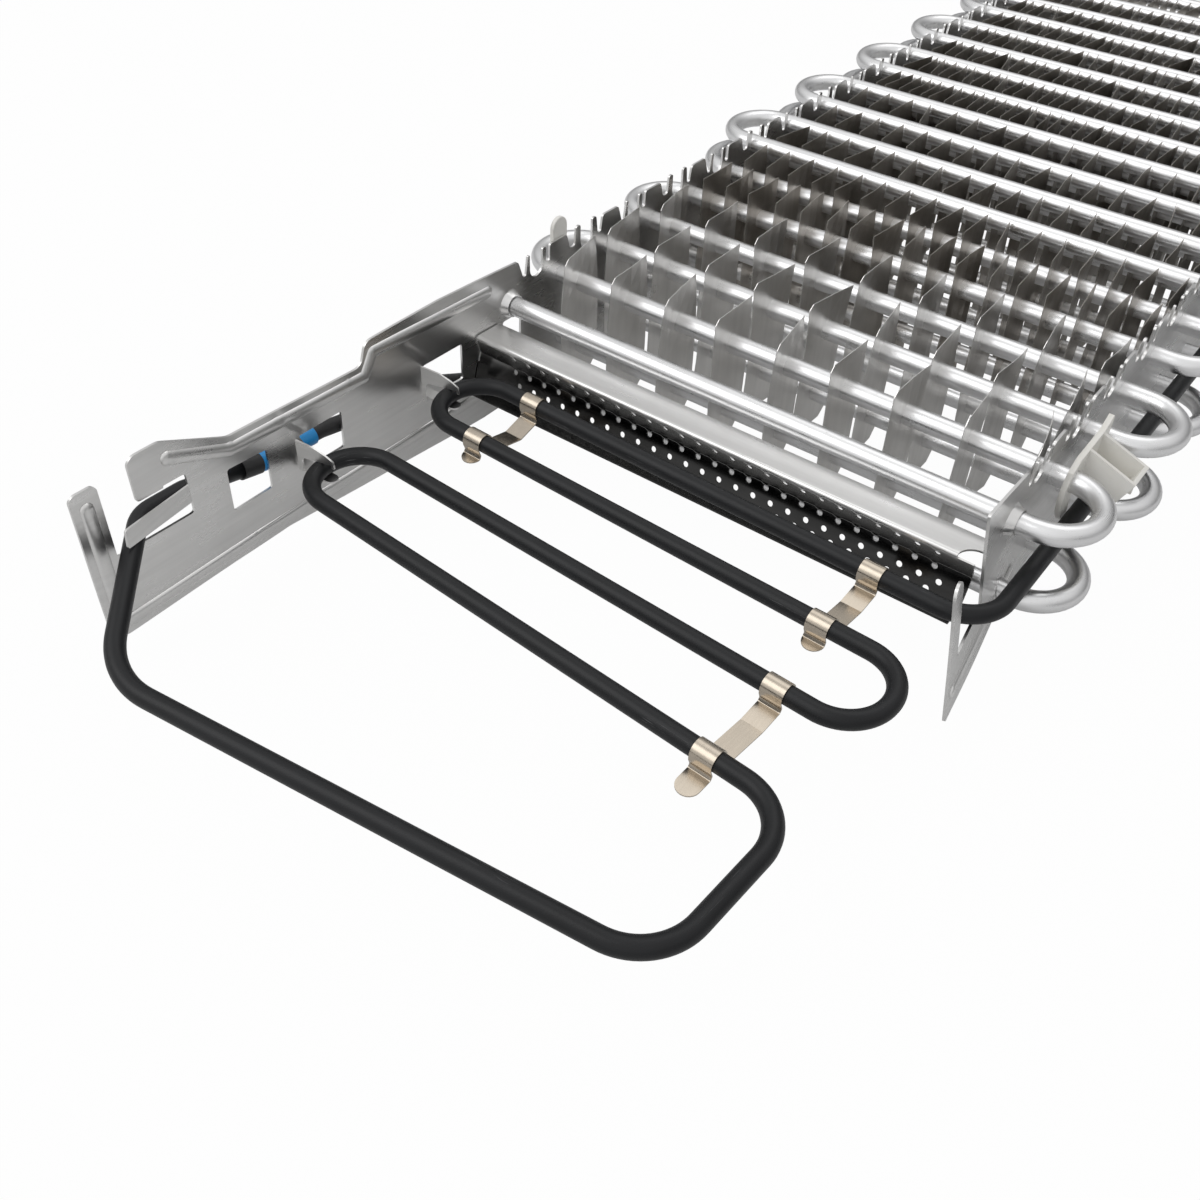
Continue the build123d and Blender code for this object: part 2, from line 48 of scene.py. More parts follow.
# Sizes are written in millimetres, measured from the point where the first tube's axis meets the
# inner face of the left end plate. The frame's origin is the middle of that plate's foot, so every
# point is moved by this much.
MM = 0.001
TO_FRAME = np.array([0.5, 0.0, 46.0])
# Two runs whose directions have a product under this go straight on
STRAIGHT = -0.99999

ROW_PITCH = 33.5
ROW_COUNT = 17
LAYER_DROP = 29.4
UPPER_RISE = 9.8
UPPER_COUNT = 12
FIRST_UPPER = 5.5
BEND_LEFT = -4.0
BEND_RIGHT = 226.5
LONG_TURNS = {13: 3.0, 19: 1.9}
STUB_END = 253.0
STUB_DEPTH = 20.0
BORE_SHARE = 0.8

# Rings of a stub's open end: how far in from the mouth, and the share of the outer radius
STUB_STEPS = [(STUB_DEPTH, BORE_SHARE), (0.0, BORE_SHARE), (0.0, 0.93), (0.25, 1.0)]
RUN_SHARES = 7

FIN_FIRST_X = 10.6
FIN_PITCH = 25.4
FIN_COUNT = 9
FIN_BOTTOM = -45.5
FIN_TOP = 15.6
LOW_FIN_TOP = 13.4
FIN_CHAMFER = 2.2
FIN_BEVEL = 5.0
FIN_COLUMN = 2.8
FIN_LEVELS = (0.0, 0.22, 0.45, 0.68, 0.86, 1.0)
WIDE_FIN_EXTRA = 2.0
ROW_SHIFT = {3: -2.5}
FIRST_MEDIUM_ROW = 5
FIRST_CLOSE_ROW = 10
FIRST_LOW_ROW = 6

HEATER_OUT_X = -4.9
HEATER_Z = -15.0
HEATER_R = 3.3
HEATER_CORNERS = [
    (HEATER_OUT_X, -138.0, -7.6),
    (HEATER_OUT_X, -161.0, -3.0),
    (HEATER_OUT_X, -178.5, -3.0),
    (36.8, -224.0, HEATER_Z),
    (220.3, -199.6, HEATER_Z),
    (223.2, -138.0, HEATER_Z),
    (8.2, -125.6, HEATER_Z),
    (8.4, -94.3, HEATER_Z),
    (222.8, -102.8, HEATER_Z),
    (223.4, -69.8, HEATER_Z),
    (10.8, -63.4, HEATER_Z),
    (10.9, -32.2, HEATER_Z),
    (231.0, -37.8, HEATER_Z),
    (231.0, 574.0, HEATER_Z),
    (60.0, 574.0, HEATER_Z),
]
HEATER_RADII = [12.0, 12.0, 30.0, 20.0, 18.5, 15.5, 15.5, 16.2, 16.2, 15.4, 15.4, 16.0, 16.0]

CLIP_T = 0.5
CLIP_W = 8.0
CLIP_WRAP = HEATER_R + CLIP_T / 2 + 0.05
CLIP_TUCK = 3.9
CLIP_STEP = 1.4
CLIP_CREASE = 12.0
# Each clip's place along X, the first corners of its rear and front run, its sag and its tail
CLIPS = [(40.0, 11, 9, 2.8, 7.3), (190.0, 11, 9, 1.4, 7.3), (192.8, 7, 5, 1.2, 12.4)]

PLATE_GAP = 218.0
PLATE_T = 1.0
PLATE_TOP = 16.5
PLATE_BOTTOM = -46.0
PLATE_END = 562.0
HOLE_R = 4.05
COLLAR_REACH = 3.0
COLLAR_FLARE = 0.55
BEAD_FLAT = 1.5
BEAD_SIDE = 1.0
BEAD_H = 1.0
BEAD_STEP = 1.5
CREASE_SIDE = 2.2
CORNER_CUT = 1.4
WINDOW_CUT = 1.2
SLOT_FLOOR = 9.5
NOSE_ANGLE = 12.5
FOLD_LOW = (38.0, PLATE_BOTTOM)
TAB_T = 0.8
TAB_TURN = 15.0
TONGUE_LINE = [(-0.5, -161.0, -1.9), (7.6, -191.4, 1.5)]
TONGUE_HALF = 3.4
FOOT_HALF = 2.5
# Each hook's place along Y, its tip's reach and its foot's level; each foot's place and reach
HOOKS = [(-116.0, 15.0, -17.8), (-52.4, 16.2, -20.4)]
FEET = [(-112.0, 14.2), (-49.0, 15.8)]

# The left plate's front: its edge with finger, mouth and shoulder, the edge's rise from the foot, its
# windows and the slot for the strip's tongue, its beads, and its creases with their depths, as
# points (y, z)
LEFT_FRONT = [
    (-125.0, -38.3), (-150.0, -38.8), (-197.0, -40.6), (-202.0, -36.0), (-202.0, 18.5),
    (-200.0, 20.0), (-193.5, 20.0), (-192.0, 18.5), (-192.0, -9.4), (-161.5, -9.4),
    (-161.5, 6.6), (-170.3, 6.6), (-170.3, 5.8), (-180.5, 5.8), (-180.5, 20.5), (-178.0, 22.5),
    (-168.0, 22.5), (-143.0, 11.0), (-84.0, 9.3), (-81.5, 10.8), (-79.5, 16.5), (-77.0, 18.0),
    (-40.0, 18.5),
]
LEFT_FOOT = [(-18.0, PLATE_BOTTOM), (-105.0, -40.2)]
LEFT_WINDOWS = [
    [(-146.0, -1.0), (-146.4, -18.4), (-129.1, -18.0), (-128.7, -2.0)],
    [(-114.5, -4.0), (-108.7, -15.8), (-104.0, -19.2), (-94.5, -19.2), (-94.1, -3.8)],
    [(-51.9, -5.0), (-51.0, -10.5), (-44.8, -13.4), (-38.0, -21.0), (-29.5, -21.2), (-29.2, -5.5)],
    [(-4.6, -6.5), (-4.9, -16.0), (6.3, -21.5), (6.7, -6.5)],
    [(-19.2, -17.7), (-20.6, -17.2), (-23.1, -24.4), (-21.7, -24.9)],
]
LEFT_BEADS = [
    [(-166.5, 15.5), (-143.0, 6.0), (-81.0, 4.6), (-76.0, 12.5), (-13.0, 10.5)],
    [(-196.0, -35.4), (-138.0, -34.0), (-16.0, -34.0)],
    [(-197.0, 13.0), (-197.0, -30.0)],
]
LEFT_CREASES = [([(-122.0, 8.0), (-112.0, -2.0)], 0.35), ([(-60.0, 8.0), (-49.0, -3.0)], 0.3)]
# The right plate's front, from its foot up round the nose, and its bead
RIGHT_FRONT = [
    (5.0, PLATE_BOTTOM), (2.0, -41.0), (-59.7, -41.0), (-59.7, 9.3), (-58.2, 11.6),
    (-55.9, 12.3), (-53.6, 11.6), (-52.0, 9.3), (-52.0, -19.3), (-25.0, -19.3), (-25.0, 16.0),
    (-24.5, PLATE_TOP),
]
RIGHT_BEAD = [(-54.0, -32.0), (15.0, -32.0)]
FOLD_ROUND = 0.6

STRIP_T = 0.8
STRIP_FOLDS = [(-7.5, -6.0), (-21.0, -6.0), (-18.6, -13.8), (-22.6, -25.2), (-31.5, -25.4)]
STRIP_ENDS = (0.5, 217.5)
# The strip's tongue: its two edges along the strip's bevel, and how far along X it ends
STRIP_TONGUE = (4.2, 11.2)
STRIP_TONGUE_END = -3.0
# Each row of holes: the fold before it, its distance from that fold and its shift along X
STRIP_ROWS = [(1, 3.2, 1.5), (2, 1.8, 1.4), (2, 6.8, 4.7), (2, 10.5, 1.3)]
STRIP_HOLES = 18.0 + 7.4 * np.arange(26)
STRIP_HOLE_R = 1.2
FLANGE_NOTCH_R = 6.3

# The photograph's camera: azimuth, elevation and roll in degrees, and its place
CAMERA_ANGLES = (36.572, 42.659, -1.9745)
CAMERA_PLACE = (301.019, -336.943, 251.719)
LAMP_TARGET = (110.0, 60.0, 0.0)
# Shares of plain white in what the camera and what metal see of the floor
FLOOR_SEEN_WHITE = 0.975
FLOOR_MIRRORED_WHITE = 0.16


class TubeSettings(bpy.types.PropertyGroup):
    """The coil tube"""
    radius: FloatProperty(
        name="Radius", description="Outer radius of the coil tube", default=0.004, unit="LENGTH")
    segments: IntProperty(
        name="Segments", description="Faces around the tube", default=28, min=8)
    turn_steps: IntProperty(
        name="Turn Steps", description="Sections in each half turn", default=22, min=6)
    color: FloatVectorProperty(
        name="Colour", description="Bare drawn aluminium", default=(0.8, 0.8, 0.805), size=3,
        subtype="COLOR", min=0.0, max=1.0)
    roughness: FloatProperty(
        name="Roughness", description="How far the drawn surface blurs what it reflects", default=0.3,
        min=0.0, max=1.0, subtype="FACTOR")


class HeaterSettings(bpy.types.PropertyGroup):
    """The defrost heater, its end pieces and its clips"""
    radius: FloatProperty(
        name="Radius", description="Outer radius of the heater", default=0.0033, unit="LENGTH")
    segments: IntProperty(
        name="Segments", description="Faces around the heater", default=28, min=8)
    color: FloatVectorProperty(
        name="Colour", description="Black coating of the sheath", default=(0.0032, 0.0036, 0.0046),
        size=3, subtype="COLOR", min=0.0, max=1.0)
    sleeve_color: FloatVectorProperty(
        name="Sleeve Colour", description="Shrunk sleeve at each end", default=(0.01, 0.25, 0.6),
        size=3, subtype="COLOR", min=0.0, max=1.0)
    lead_color: FloatVectorProperty(
        name="Lead Colour", description="Rubber of the collars and leads",
        default=(0.009, 0.009, 0.01), size=3, subtype="COLOR", min=0.0, max=1.0)
    clip_color: FloatVectorProperty(
        name="Clip Colour", description="Plated spring steel", default=(0.47, 0.415, 0.345), size=3,
        subtype="COLOR", min=0.0, max=1.0)


class FinSettings(bpy.types.PropertyGroup):
    """The fins on the tube rows"""
    thickness: FloatProperty(
        name="Thickness", description="Sheet of a fin", default=0.00025, unit="LENGTH")
    half_width: FloatProperty(
        name="Half Width", description="From the tube to a fin's edge", default=0.012, unit="LENGTH")
    unevenness: FloatProperty(
        name="Unevenness", description="How far handling has bent the corners", default=0.0009,
        unit="LENGTH")
    seed: IntProperty(name="Seed", description="Which uneven set is used", default=7, min=0)
    color: FloatVectorProperty(
        name="Colour", description="Bare rolled foil of the front rows", default=(0.8, 0.79, 0.77),
        size=3, subtype="COLOR", min=0.0, max=1.0)
    # Painted shade: a darker foil colour for the closely set rows behind
    rear_shade_color: FloatVectorProperty(
        name="Rear Shade Colour", description="Painted shade on the rows behind", default=(0.5, 0.47, 0.43),
        size=3, subtype="COLOR", min=0.0, max=1.0)


class SheetSettings(bpy.types.PropertyGroup):
    """The end plates and the perforated strip"""
    color: FloatVectorProperty(
        name="Colour", description="Bare rolled aluminium sheet", default=(0.79, 0.785, 0.775),
        size=3, subtype="COLOR", min=0.0, max=1.0)
    roughness: FloatProperty(
        name="Roughness", description="How far the rolled surface blurs what it reflects",
        default=0.3, min=0.0, max=1.0, subtype="FACTOR")


class HolderSettings(bpy.types.PropertyGroup):
    """The two plastic holders"""
    color: FloatVectorProperty(
        name="Colour", description="Moulded white plastic", default=(0.76, 0.75, 0.72), size=3,
        subtype="COLOR", min=0.0, max=1.0)


class StageSettings(bpy.types.PropertyGroup):
    """Camera, floor and light"""
    lens: FloatProperty(
        name="Lens", description="Focal length for a 36 mm sensor", default=36.795,
        subtype="DISTANCE_CAMERA")
    floor_color: FloatVectorProperty(
        name="Floor Colour", description="Pale floor", default=(0.6, 0.6, 0.6), size=3,
        subtype="COLOR", min=0.0, max=1.0)
    sky_level: FloatProperty(
        name="Sky Level", description="Light that comes from all round", default=0.8, min=0.0)
    key_power: FloatProperty(
        name="Key Power", description="Lamp in front on the left", default=4.6, min=0.0, unit="POWER")
    top_power: FloatProperty(
        name="Top Power", description="Lamp above the rear", default=2.2, min=0.0, unit="POWER")


def two_way(operation):
    """The plain and the reflected form of an arithmetic operator, as a Math node."""
    def plain(self, other):
        return self.board.math(operation, self, other)

    def reflected(self, other):
        return self.board.math(operation, other, self)
    return plain, reflected


class Link:
    """One output socket. Sums and products of links add their own Math nodes."""

    __add__, __radd__ = two_way("ADD")
    __sub__, __rsub__ = two_way("SUBTRACT")
    __mul__, __rmul__ = two_way("MULTIPLY")
    __truediv__, __rtruediv__ = two_way("DIVIDE")

    def __init__(self, board, socket):
        self.board = board
        self.socket = socket

    def ramp(self, low, high):
        """0 at low and under, 1 at high and over, straight between."""
        kind = {"clamp": True}
        values = {"Value": self, "From Min": low, "From Max": high}
        return self.board.node("ShaderNodeMapRange", kind, values).out("Result")


class Node:
    """One shader node, whose outputs are taken by name."""

    def __init__(self, board, made):
        self.board = board
        self.made = made

    def out(self, name):
        return Link(self.board, self.made.outputs[name])


class Board:
    """The nodes of one material or world."""

    def __init__(self, tree):
        self.tree = tree
        tree.nodes.clear()

    def node(self, kind, settings=None, values=None):
        """Adds a node of a type, sets its settings first and then its sockets' values or links."""
        made = self.tree.nodes.new(kind)
        for name, value in (settings or {}).items():
            setattr(made, name, value)
        for name, value in (values or {}).items():
            self.feed(made.inputs[name], value)
        return Node(self, made)

    def feed(self, socket, value):
        if isinstance(value, Link):
            self.tree.links.new(value.socket, socket)
        elif socket.type == "RGBA":
            socket.default_value = (*value, 1.0)
        else:
            socket.default_value = value

    def math(self, operation, first, second):
        values = {0: first, 1: second}
        return self.node("ShaderNodeMath", {"operation": operation}, values).out("Value")

    def blend(self, share, first, second):
        """A colour that goes from first to second as share goes from 0 to 1."""
        values = {0: share, 6: first, 7: second}
        return Link(self, self.node("ShaderNodeMix", {"data_type": "RGBA"}, values).made.outputs[2])

    def scaled(self, vector, scale):
        kind = {"operation": "MULTIPLY"}
        return self.node("ShaderNodeVectorMath", kind, {0: vector, 1: scale}).out("Vector")

    def place(self):
        return self.node("ShaderNodeTexCoord").out("Object")

    def along(self):
        """The piece's own map: metres along its path and a share of the way round."""
        return self.node("ShaderNodeUVMap", {"uv_map": "along"}).out("UV")

    def noise(self, vector, scale, detail=3.0, roughness=0.55):
        values = {"Vector": vector, "Scale": scale, "Detail": detail, "Roughness": roughness}
        return self.node("ShaderNodeTexNoise", {}, values).out("Fac")

    def bump(self, height, distance, strength=1.0):
        values = {"Height": height, "Distance": distance, "Strength": strength}
        return self.node("ShaderNodeBump", {}, values).out("Normal")


def new_material(name):
    """An empty material, and the board for its nodes."""
    made = bpy.data.materials.new(name)
    made.use_nodes = True
    return made, Board(made.node_tree)


def finish(name, paint):
    """A material whose one surface shader is fed by what paint returns for a board."""
    made, board = new_material(name)
    shader = board.node("ShaderNodeBsdfPrincipled", {}, paint(board))
    board.node("ShaderNodeOutputMaterial", {}, {"Surface": shader.out("BSDF")})
    return made


def shade(color, factor, extra=0.0):
    """A colour times a factor, with the same amount added to each part."""
    return tuple(part * factor + extra for part in color)


def drawn_tube(color, roughness):
    """Drawn aluminium: hair lines along the tube, soft blotches of haze and a few fine pits."""
    def paint(b):
        way = b.along()
        lines = b.noise(b.scaled(way, (18.0, 46.0, 1.0)), 1.0, 2.0)
        haze = b.noise(b.place(), 90.0, 4.0)
        pits = b.noise(b.place(), 1400.0, 1.0).ramp(0.7, 0.78)
        tone = (lines - 0.5) * 0.3 + (haze - 0.5) * 0.34 + 0.5 - pits * 0.2
        height = lines * 0.6 + haze * 0.5 - pits
        return {
            "Base Color": b.blend(tone.ramp(0.25, 0.75), shade(color, 0.9), shade(color, 1.05)),
            "Metallic": 1.0,
            "Roughness": (haze - 0.5) * 0.2 + (lines - 0.5) * 0.1 + roughness + pits * 0.15,
            "Normal": b.bump(height, 0.00004),
        }
    return finish("drawn_tube", paint)


def rolled_sheet(name, color, roughness, cloud, grain, change=None):
    """Rolled aluminium: fine grain along one direction and clouded haze. A change names an axis, the
    two places between which the colour goes over to another one, that colour, and by how much the
    roughness rises there. The change carries painted shade: the darker rear fins, and the strip's
    painted dark face below its flange."""
    axis, place, other, blur = change or ("Y", (0.0, 1.0), color, 0.0)

    def paint(b):
        where = b.node("ShaderNodeSeparateXYZ", {}, {0: b.place()}).out(axis).ramp(*place)
        grain_lines = b.noise(b.scaled(b.place(), grain), 1.0, 1.0)
        clouds = b.noise(b.place(), cloud, 2.0)
        tone = (grain_lines - 0.5) * 0.5 + (clouds - 0.5) * 0.6 + 0.5
        there = b.blend(where, color, other)
        haze = (clouds - 0.5) * 0.18 + (grain_lines - 0.5) * 0.12
        return {
            "Base Color": b.blend(tone.ramp(0.2, 0.8) * 0.17, there, (0.0, 0.0, 0.0)),
            "Metallic": 1.0,
            "Roughness": haze + roughness + where * blur,
            "Normal": b.bump(grain_lines * 0.3 + clouds * 0.5, 0.000025),
        }
    return finish(name, paint)


def coated_heater(color):
    """Black coating: a soft sheen, faint orange peel and long scuffs where it was handled."""
    def paint(b):
        way = b.along()
        peel = b.noise(b.place(), 900.0, 2.0)
        haze = b.noise(b.scaled(way, (60.0, 2.0, 1.0)), 1.0, 3.0)
        where = b.noise(b.scaled(way, (22.0, 1.4, 1.0)), 1.0, 1.0).ramp(0.6, 0.74)
        scuffs = b.noise(b.scaled(way, (110.0, 30.0, 1.0)), 1.0, 3.0).ramp(0.6, 0.72) * where
        coat = b.blend(haze.ramp(0.3, 0.8), color, shade(color, 1.7, 0.003))
        return {
            "Base Color": b.blend(scuffs * 0.6, coat, (0.22, 0.22, 0.225)),
            "Roughness": (haze - 0.5) * 0.16 + 0.42 + scuffs * 0.12,
            "Normal": b.bump(peel * 0.6 + scuffs * 0.5, 0.00005),
            "Specular IOR Level": 0.34,
        }
    return finish("coated_heater", paint)


def plated_clip(color):
    """Plated spring steel with faint rolling lines and a warm tint."""
    def paint(b):
        lines = b.noise(b.scaled(b.place(), (900.0, 90.0, 90.0)), 1.0, 2.0)
        haze = b.noise(b.place(), 160.0, 3.0)
        return {
            "Base Color": b.blend(((lines + haze) * 0.5).ramp(0.3, 0.7), color, shade(color, 1.12)),
            "Metallic": 1.0,
            "Roughness": (haze - 0.5) * 0.15 + 0.24,
            "Normal": b.bump(lines, 0.00002),
        }
    return finish("plated_clip", paint)


def dull_rubber(name, color, roughness):
    """Rubber or shrunk sleeve with a fine grain and a little dust in it."""
    def paint(b):
        grain = b.noise(b.place(), 1500.0, 2.0)
        dust = b.noise(b.place(), 120.0, 4.0)
        return {
            "Base Color": b.blend(dust.ramp(0.35, 0.75) * 0.6, color, shade(color, 0.9, 0.01)),
            "Roughness": (dust - 0.5) * 0.2 + roughness,
            "Normal": b.bump(grain, 0.00004),
        }
    return finish(name, paint)


def moulded_plastic(color):
    """Moulded white plastic: a faint grain and slight yellowing in soft random patches."""
    def paint(b):
        grain = b.noise(b.place(), 1100.0, 2.0)
        cloud = b.noise(b.place(), 70.0, 3.0)
        aged = (color[0] * 0.96, color[1] * 0.945, color[2] * 0.9)
        return {
            "Base Color": b.blend(cloud.ramp(0.3, 0.75) * 0.7, color, aged),
            "Roughness": (cloud - 0.5) * 0.14 + 0.42,
            "Normal": b.bump(grain, 0.00003),
            "Subsurface Weight": 0.06,
            "Subsurface Radius": (0.003, 0.003, 0.003),
        }
    return finish("moulded_plastic", paint)


def in_frame(points):
    """Points in millimetres from the first tube's axis, moved to the frame's origin, in metres."""
    return (np.asarray(points, float) + TO_FRAME) * MM


def shown(name, data):
    """A new object of the scene."""
    made = bpy.data.objects.new(name, data)
    bpy.context.scene.collection.objects.link(made)
    return made


def new_piece(name, vertices, faces, material, smooth=True):
    """A mesh object from arrays of vertices in metres and of faces, with one material."""
    mesh = bpy.data.meshes.new(name)
    mesh.from_pydata(vertices.tolist(), [], faces)
    mesh.polygons.foreach_set("use_smooth", [smooth] * len(mesh.polygons))
    mesh.materials.append(material)
    mesh.update()
    piece = shown(name, mesh)
    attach(piece, "root")
    return piece


def unit(vectors):
    return vectors / np.linalg.norm(vectors, axis=-1, keepdims=True)


def lengths_along(path):
    """The length from the start of a path to each of its points."""
    return np.concatenate([[0.0], np.cumsum(np.linalg.norm(np.diff(path, axis=0), axis=1))])


def carried_circle(path, tangents, ups, radii, segments):
    """A circle carried along a path. At each place, side is up x tangent, rise is tangent x side, and
    the point at angle a is centre + radius * (side * cos a + rise * sin a)."""
    side = unit(np.cross(ups, tangents))
    rise = np.cross(tangents, side)
    turn = np.arange(segments) * (2 * np.pi / segments)
    around = side[:, None] * np.cos(turn)[:, None] + rise[:, None] * np.sin(turn)[:, None]
    return path[:, None] + around * radii[:, None, None]


def grid_faces(rings, segments):
    """Quads between neighbouring rings, and one face that closes each end."""
    ring = np.arange(rings - 1)[:, None] * segments
    here = np.arange(segments)[None]
    there = (here + 1) % segments
    quads = np.stack([ring + here, ring + there, ring + segments + there, ring + segments + here], -1)
    first = list(range(segments))[::-1]
    last = [(rings - 1) * segments + i for i in range(segments)]
    return quads.reshape(-1, 4).tolist() + [first, last]


def round_bar(name, path, tangents, ups, radii, segments, material):
    """A closed round bar along a path, with its map of metres along it and a share of the way round,
    which goes up to 1 at the far side and back, so that it has no seam."""
    points = carried_circle(path, tangents, ups, radii, segments)
    faces = grid_faces(len(path), segments)
    piece = new_piece(name, in_frame(points.reshape(-1, 3)), faces, material)
    length = lengths_along(path) * MM
    share = 1 - np.abs(np.arange(segments) * 2.0 / segments - 1)
    table = np.stack(np.broadcast_arrays(length[:, None], share[None]), -1).reshape(-1, 2)
    corners = np.empty(len(piece.data.loops), np.int32)
    piece.data.loops.foreach_get("vertex_index", corners)
    layer = piece.data.uv_layers.new(name="along")
    layer.data.foreach_set("uv", table[corners].ravel())
    return piece


def coil_runs():
    """Row places (y, z) of the runs in order: the top layer from the far end, the bottom layer back,
    then the upper tubes to the front."""
    rows = np.arange(ROW_COUNT) * ROW_PITCH
    upper = (FIRST_UPPER - 1 + np.arange(UPPER_COUNT, 0, -1)) * ROW_PITCH
    top = np.stack([rows[::-1], np.zeros(ROW_COUNT)], -1)
    bottom = np.stack([rows, np.full(ROW_COUNT, -LAYER_DROP)], -1)
    high = np.stack([upper, np.full(UPPER_COUNT, UPPER_RISE)], -1)
    return np.concatenate([top, bottom, high])


def coil_path(turn_steps):
    """Path of the coil: straight runs along X, joined by half circles in the plane of both runs. The
    up vector is square to each half circle and goes over smoothly along the run between two."""
    runs = coil_runs()
    count = len(runs)
    across = np.diff(runs, axis=0)
    square = unit(np.stack([np.zeros(count - 1), -across[:, 1], across[:, 0]], -1))
    ups = [square[0] if square[0][2] > 0 else -square[0]]
    for way in square[1:]:
        ups.append(way if way @ ups[-1] > -1e-6 else -way)
    ups = [ups[0]] + ups + [ups[-1]]
    share = np.linspace(0, 1, RUN_SHARES)[:, None]
    angle = np.linspace(0, np.pi, turn_steps + 2)[1:-1, None]
    path, tangents, up_rows = [], [], []
    start_x = STUB_END
    for i, (y, z) in enumerate(runs):
        toward = -1.0 if i % 2 == 0 else 1.0
        end_x = BEND_LEFT if toward < 0 else BEND_RIGHT + LONG_TURNS.get(i, 0.0)
        if i == count - 1:
            end_x = STUB_END
        start = np.array([start_x, y, z])
        end = np.array([end_x, y, z])
        path.append(start + (end - start) * share)
        tangents.append(np.tile([toward, 0.0, 0.0], (len(share), 1)))
        up_rows.append(unit(ups[i] * (1 - share) + ups[i + 1] * share))
        if i < count - 1:
            half = np.array([0.0, across[i][0], across[i][1]]) / 2
            reach = np.linalg.norm(half)
            out = np.array([toward * reach, 0.0, 0.0])
            path.append(end + half - half * np.cos(angle) + out * np.sin(angle))
            tangents.append(unit(half * np.sin(angle) + out * np.cos(angle)))
            up_rows.append(np.tile(ups[i + 1], (len(angle), 1)))
        start_x = end_x
    return np.concatenate(path), np.concatenate(tangents), np.concatenate(up_rows)


def with_stub_ends(path, tangents, ups, radius):
    """Adds an open bore at both ends: the skin goes over the rim, in and down to a closed bottom."""
    depth, radii = np.array(STUB_STEPS).T
    count = len(depth)
    radii = radii * radius
    start = path[0] + tangents[0] * depth[:, None]
    end = (path[-1] - tangents[-1] * depth[:, None])[::-1]
    path = np.concatenate([start, path[1:-1], end])
    repeats = np.ones(len(tangents), int)
    repeats[[0, -1]] = count
    radii = np.concatenate([radii, np.full(len(path) - 2 * count, radius), radii[::-1]])
    return path, np.repeat(tangents, repeats, axis=0), np.repeat(ups, repeats, axis=0), radii


def rounded_path(corners, radii, step):
    """Straight runs between corners, each corner rounded by an arc that touches both runs: the arc's
    point at angle a is its centre + radius * (start direction * cos a + travel direction * sin a)."""
    points = np.array(corners, float)
    path, tangents = [points[:1]], [unit(points[1:2] - points[:1])]
    for i in range(1, len(points) - 1):
        back = unit(points[i - 1] - points[i])
        ahead = unit(points[i + 1] - points[i])
        if back @ ahead < STRAIGHT:
            continue
        half = np.arccos(back @ ahead) / 2
        radius = radii[i - 1]
        centre = points[i] + unit(back + ahead) * radius / np.sin(half)
        start = points[i] + back * radius / np.tan(half)
        sweep = np.pi - 2 * half
        count = max(int(np.ceil(sweep * radius / step)), 4)
        angle = np.linspace(0, sweep, count + 1)[:, None]
        spoke = (start - centre) / radius
        path.append(centre + radius * (spoke * np.cos(angle) - back * np.sin(angle)))
        tangents.append(-spoke * np.sin(angle) - back * np.cos(angle))
    path.append(points[-1:])
    tangents.append(unit(points[-1:] - points[-2:-1]))
    return np.concatenate(path), unit(np.concatenate(tangents))


def fin_places(row):
    """X of every fin in a row: wide pitch in front, half of it in the middle, a quarter behind."""
    parts = 1 if row < FIRST_MEDIUM_ROW else 2 if row < FIRST_CLOSE_ROW else 4
    count = (FIN_COUNT - 1) * parts + 1
    return FIN_FIRST_X + ROW_SHIFT.get(row, 0.0) + np.arange(count) * FIN_PITCH / parts


def fin_sheet(half, top, closed):
    """Outline of one fin as a grid of y and z: columns from the front edge to the rear edge, each
    running from the fin's lower edge to its upper edge. A closed fin has cut corners."""
    front = -half - WIDE_FIN_EXTRA * closed
    across = front + np.array([0.0, FIN_CHAMFER, FIN_BEVEL])
    across = np.append(across, [0.0, half - FIN_BEVEL, half])
    upper = top - np.array([FIN_CHAMFER, 0.0, 0.0, 0.0, 0.0, 0.0]) * closed
    lower = FIN_BOTTOM + np.array([FIN_BEVEL, FIN_COLUMN, 0.0, 0.0, 0.0, FIN_BEVEL]) * closed
    z = lower[:, None] + (upper - lower)[:, None] * np.array(FIN_LEVELS)
    y = np.broadcast_to(across[:, None], z.shape)
    return y, z


def sheet_faces(columns, rows):
    """Faces of a thin sheet: both sides and the rim, for two layers of a grid of columns and rows."""
    near = np.arange(columns * rows).reshape(columns, rows)
    quads = np.stack([near[:-1, :-1], near[1:, :-1], near[1:, 1:], near[:-1, 1:]], -1).reshape(-1, 4)
    far = quads[:, ::-1] + columns * rows
    rim = np.concatenate([near[:, 0], near[-1, 1:], near[-2::-1, -1], near[0, -2:0:-1]])
    ahead = np.roll(rim, -1)
    edge = np.stack([ahead, rim, rim + columns * rows, ahead + columns * rows], -1)
    return np.concatenate([quads, far, edge])


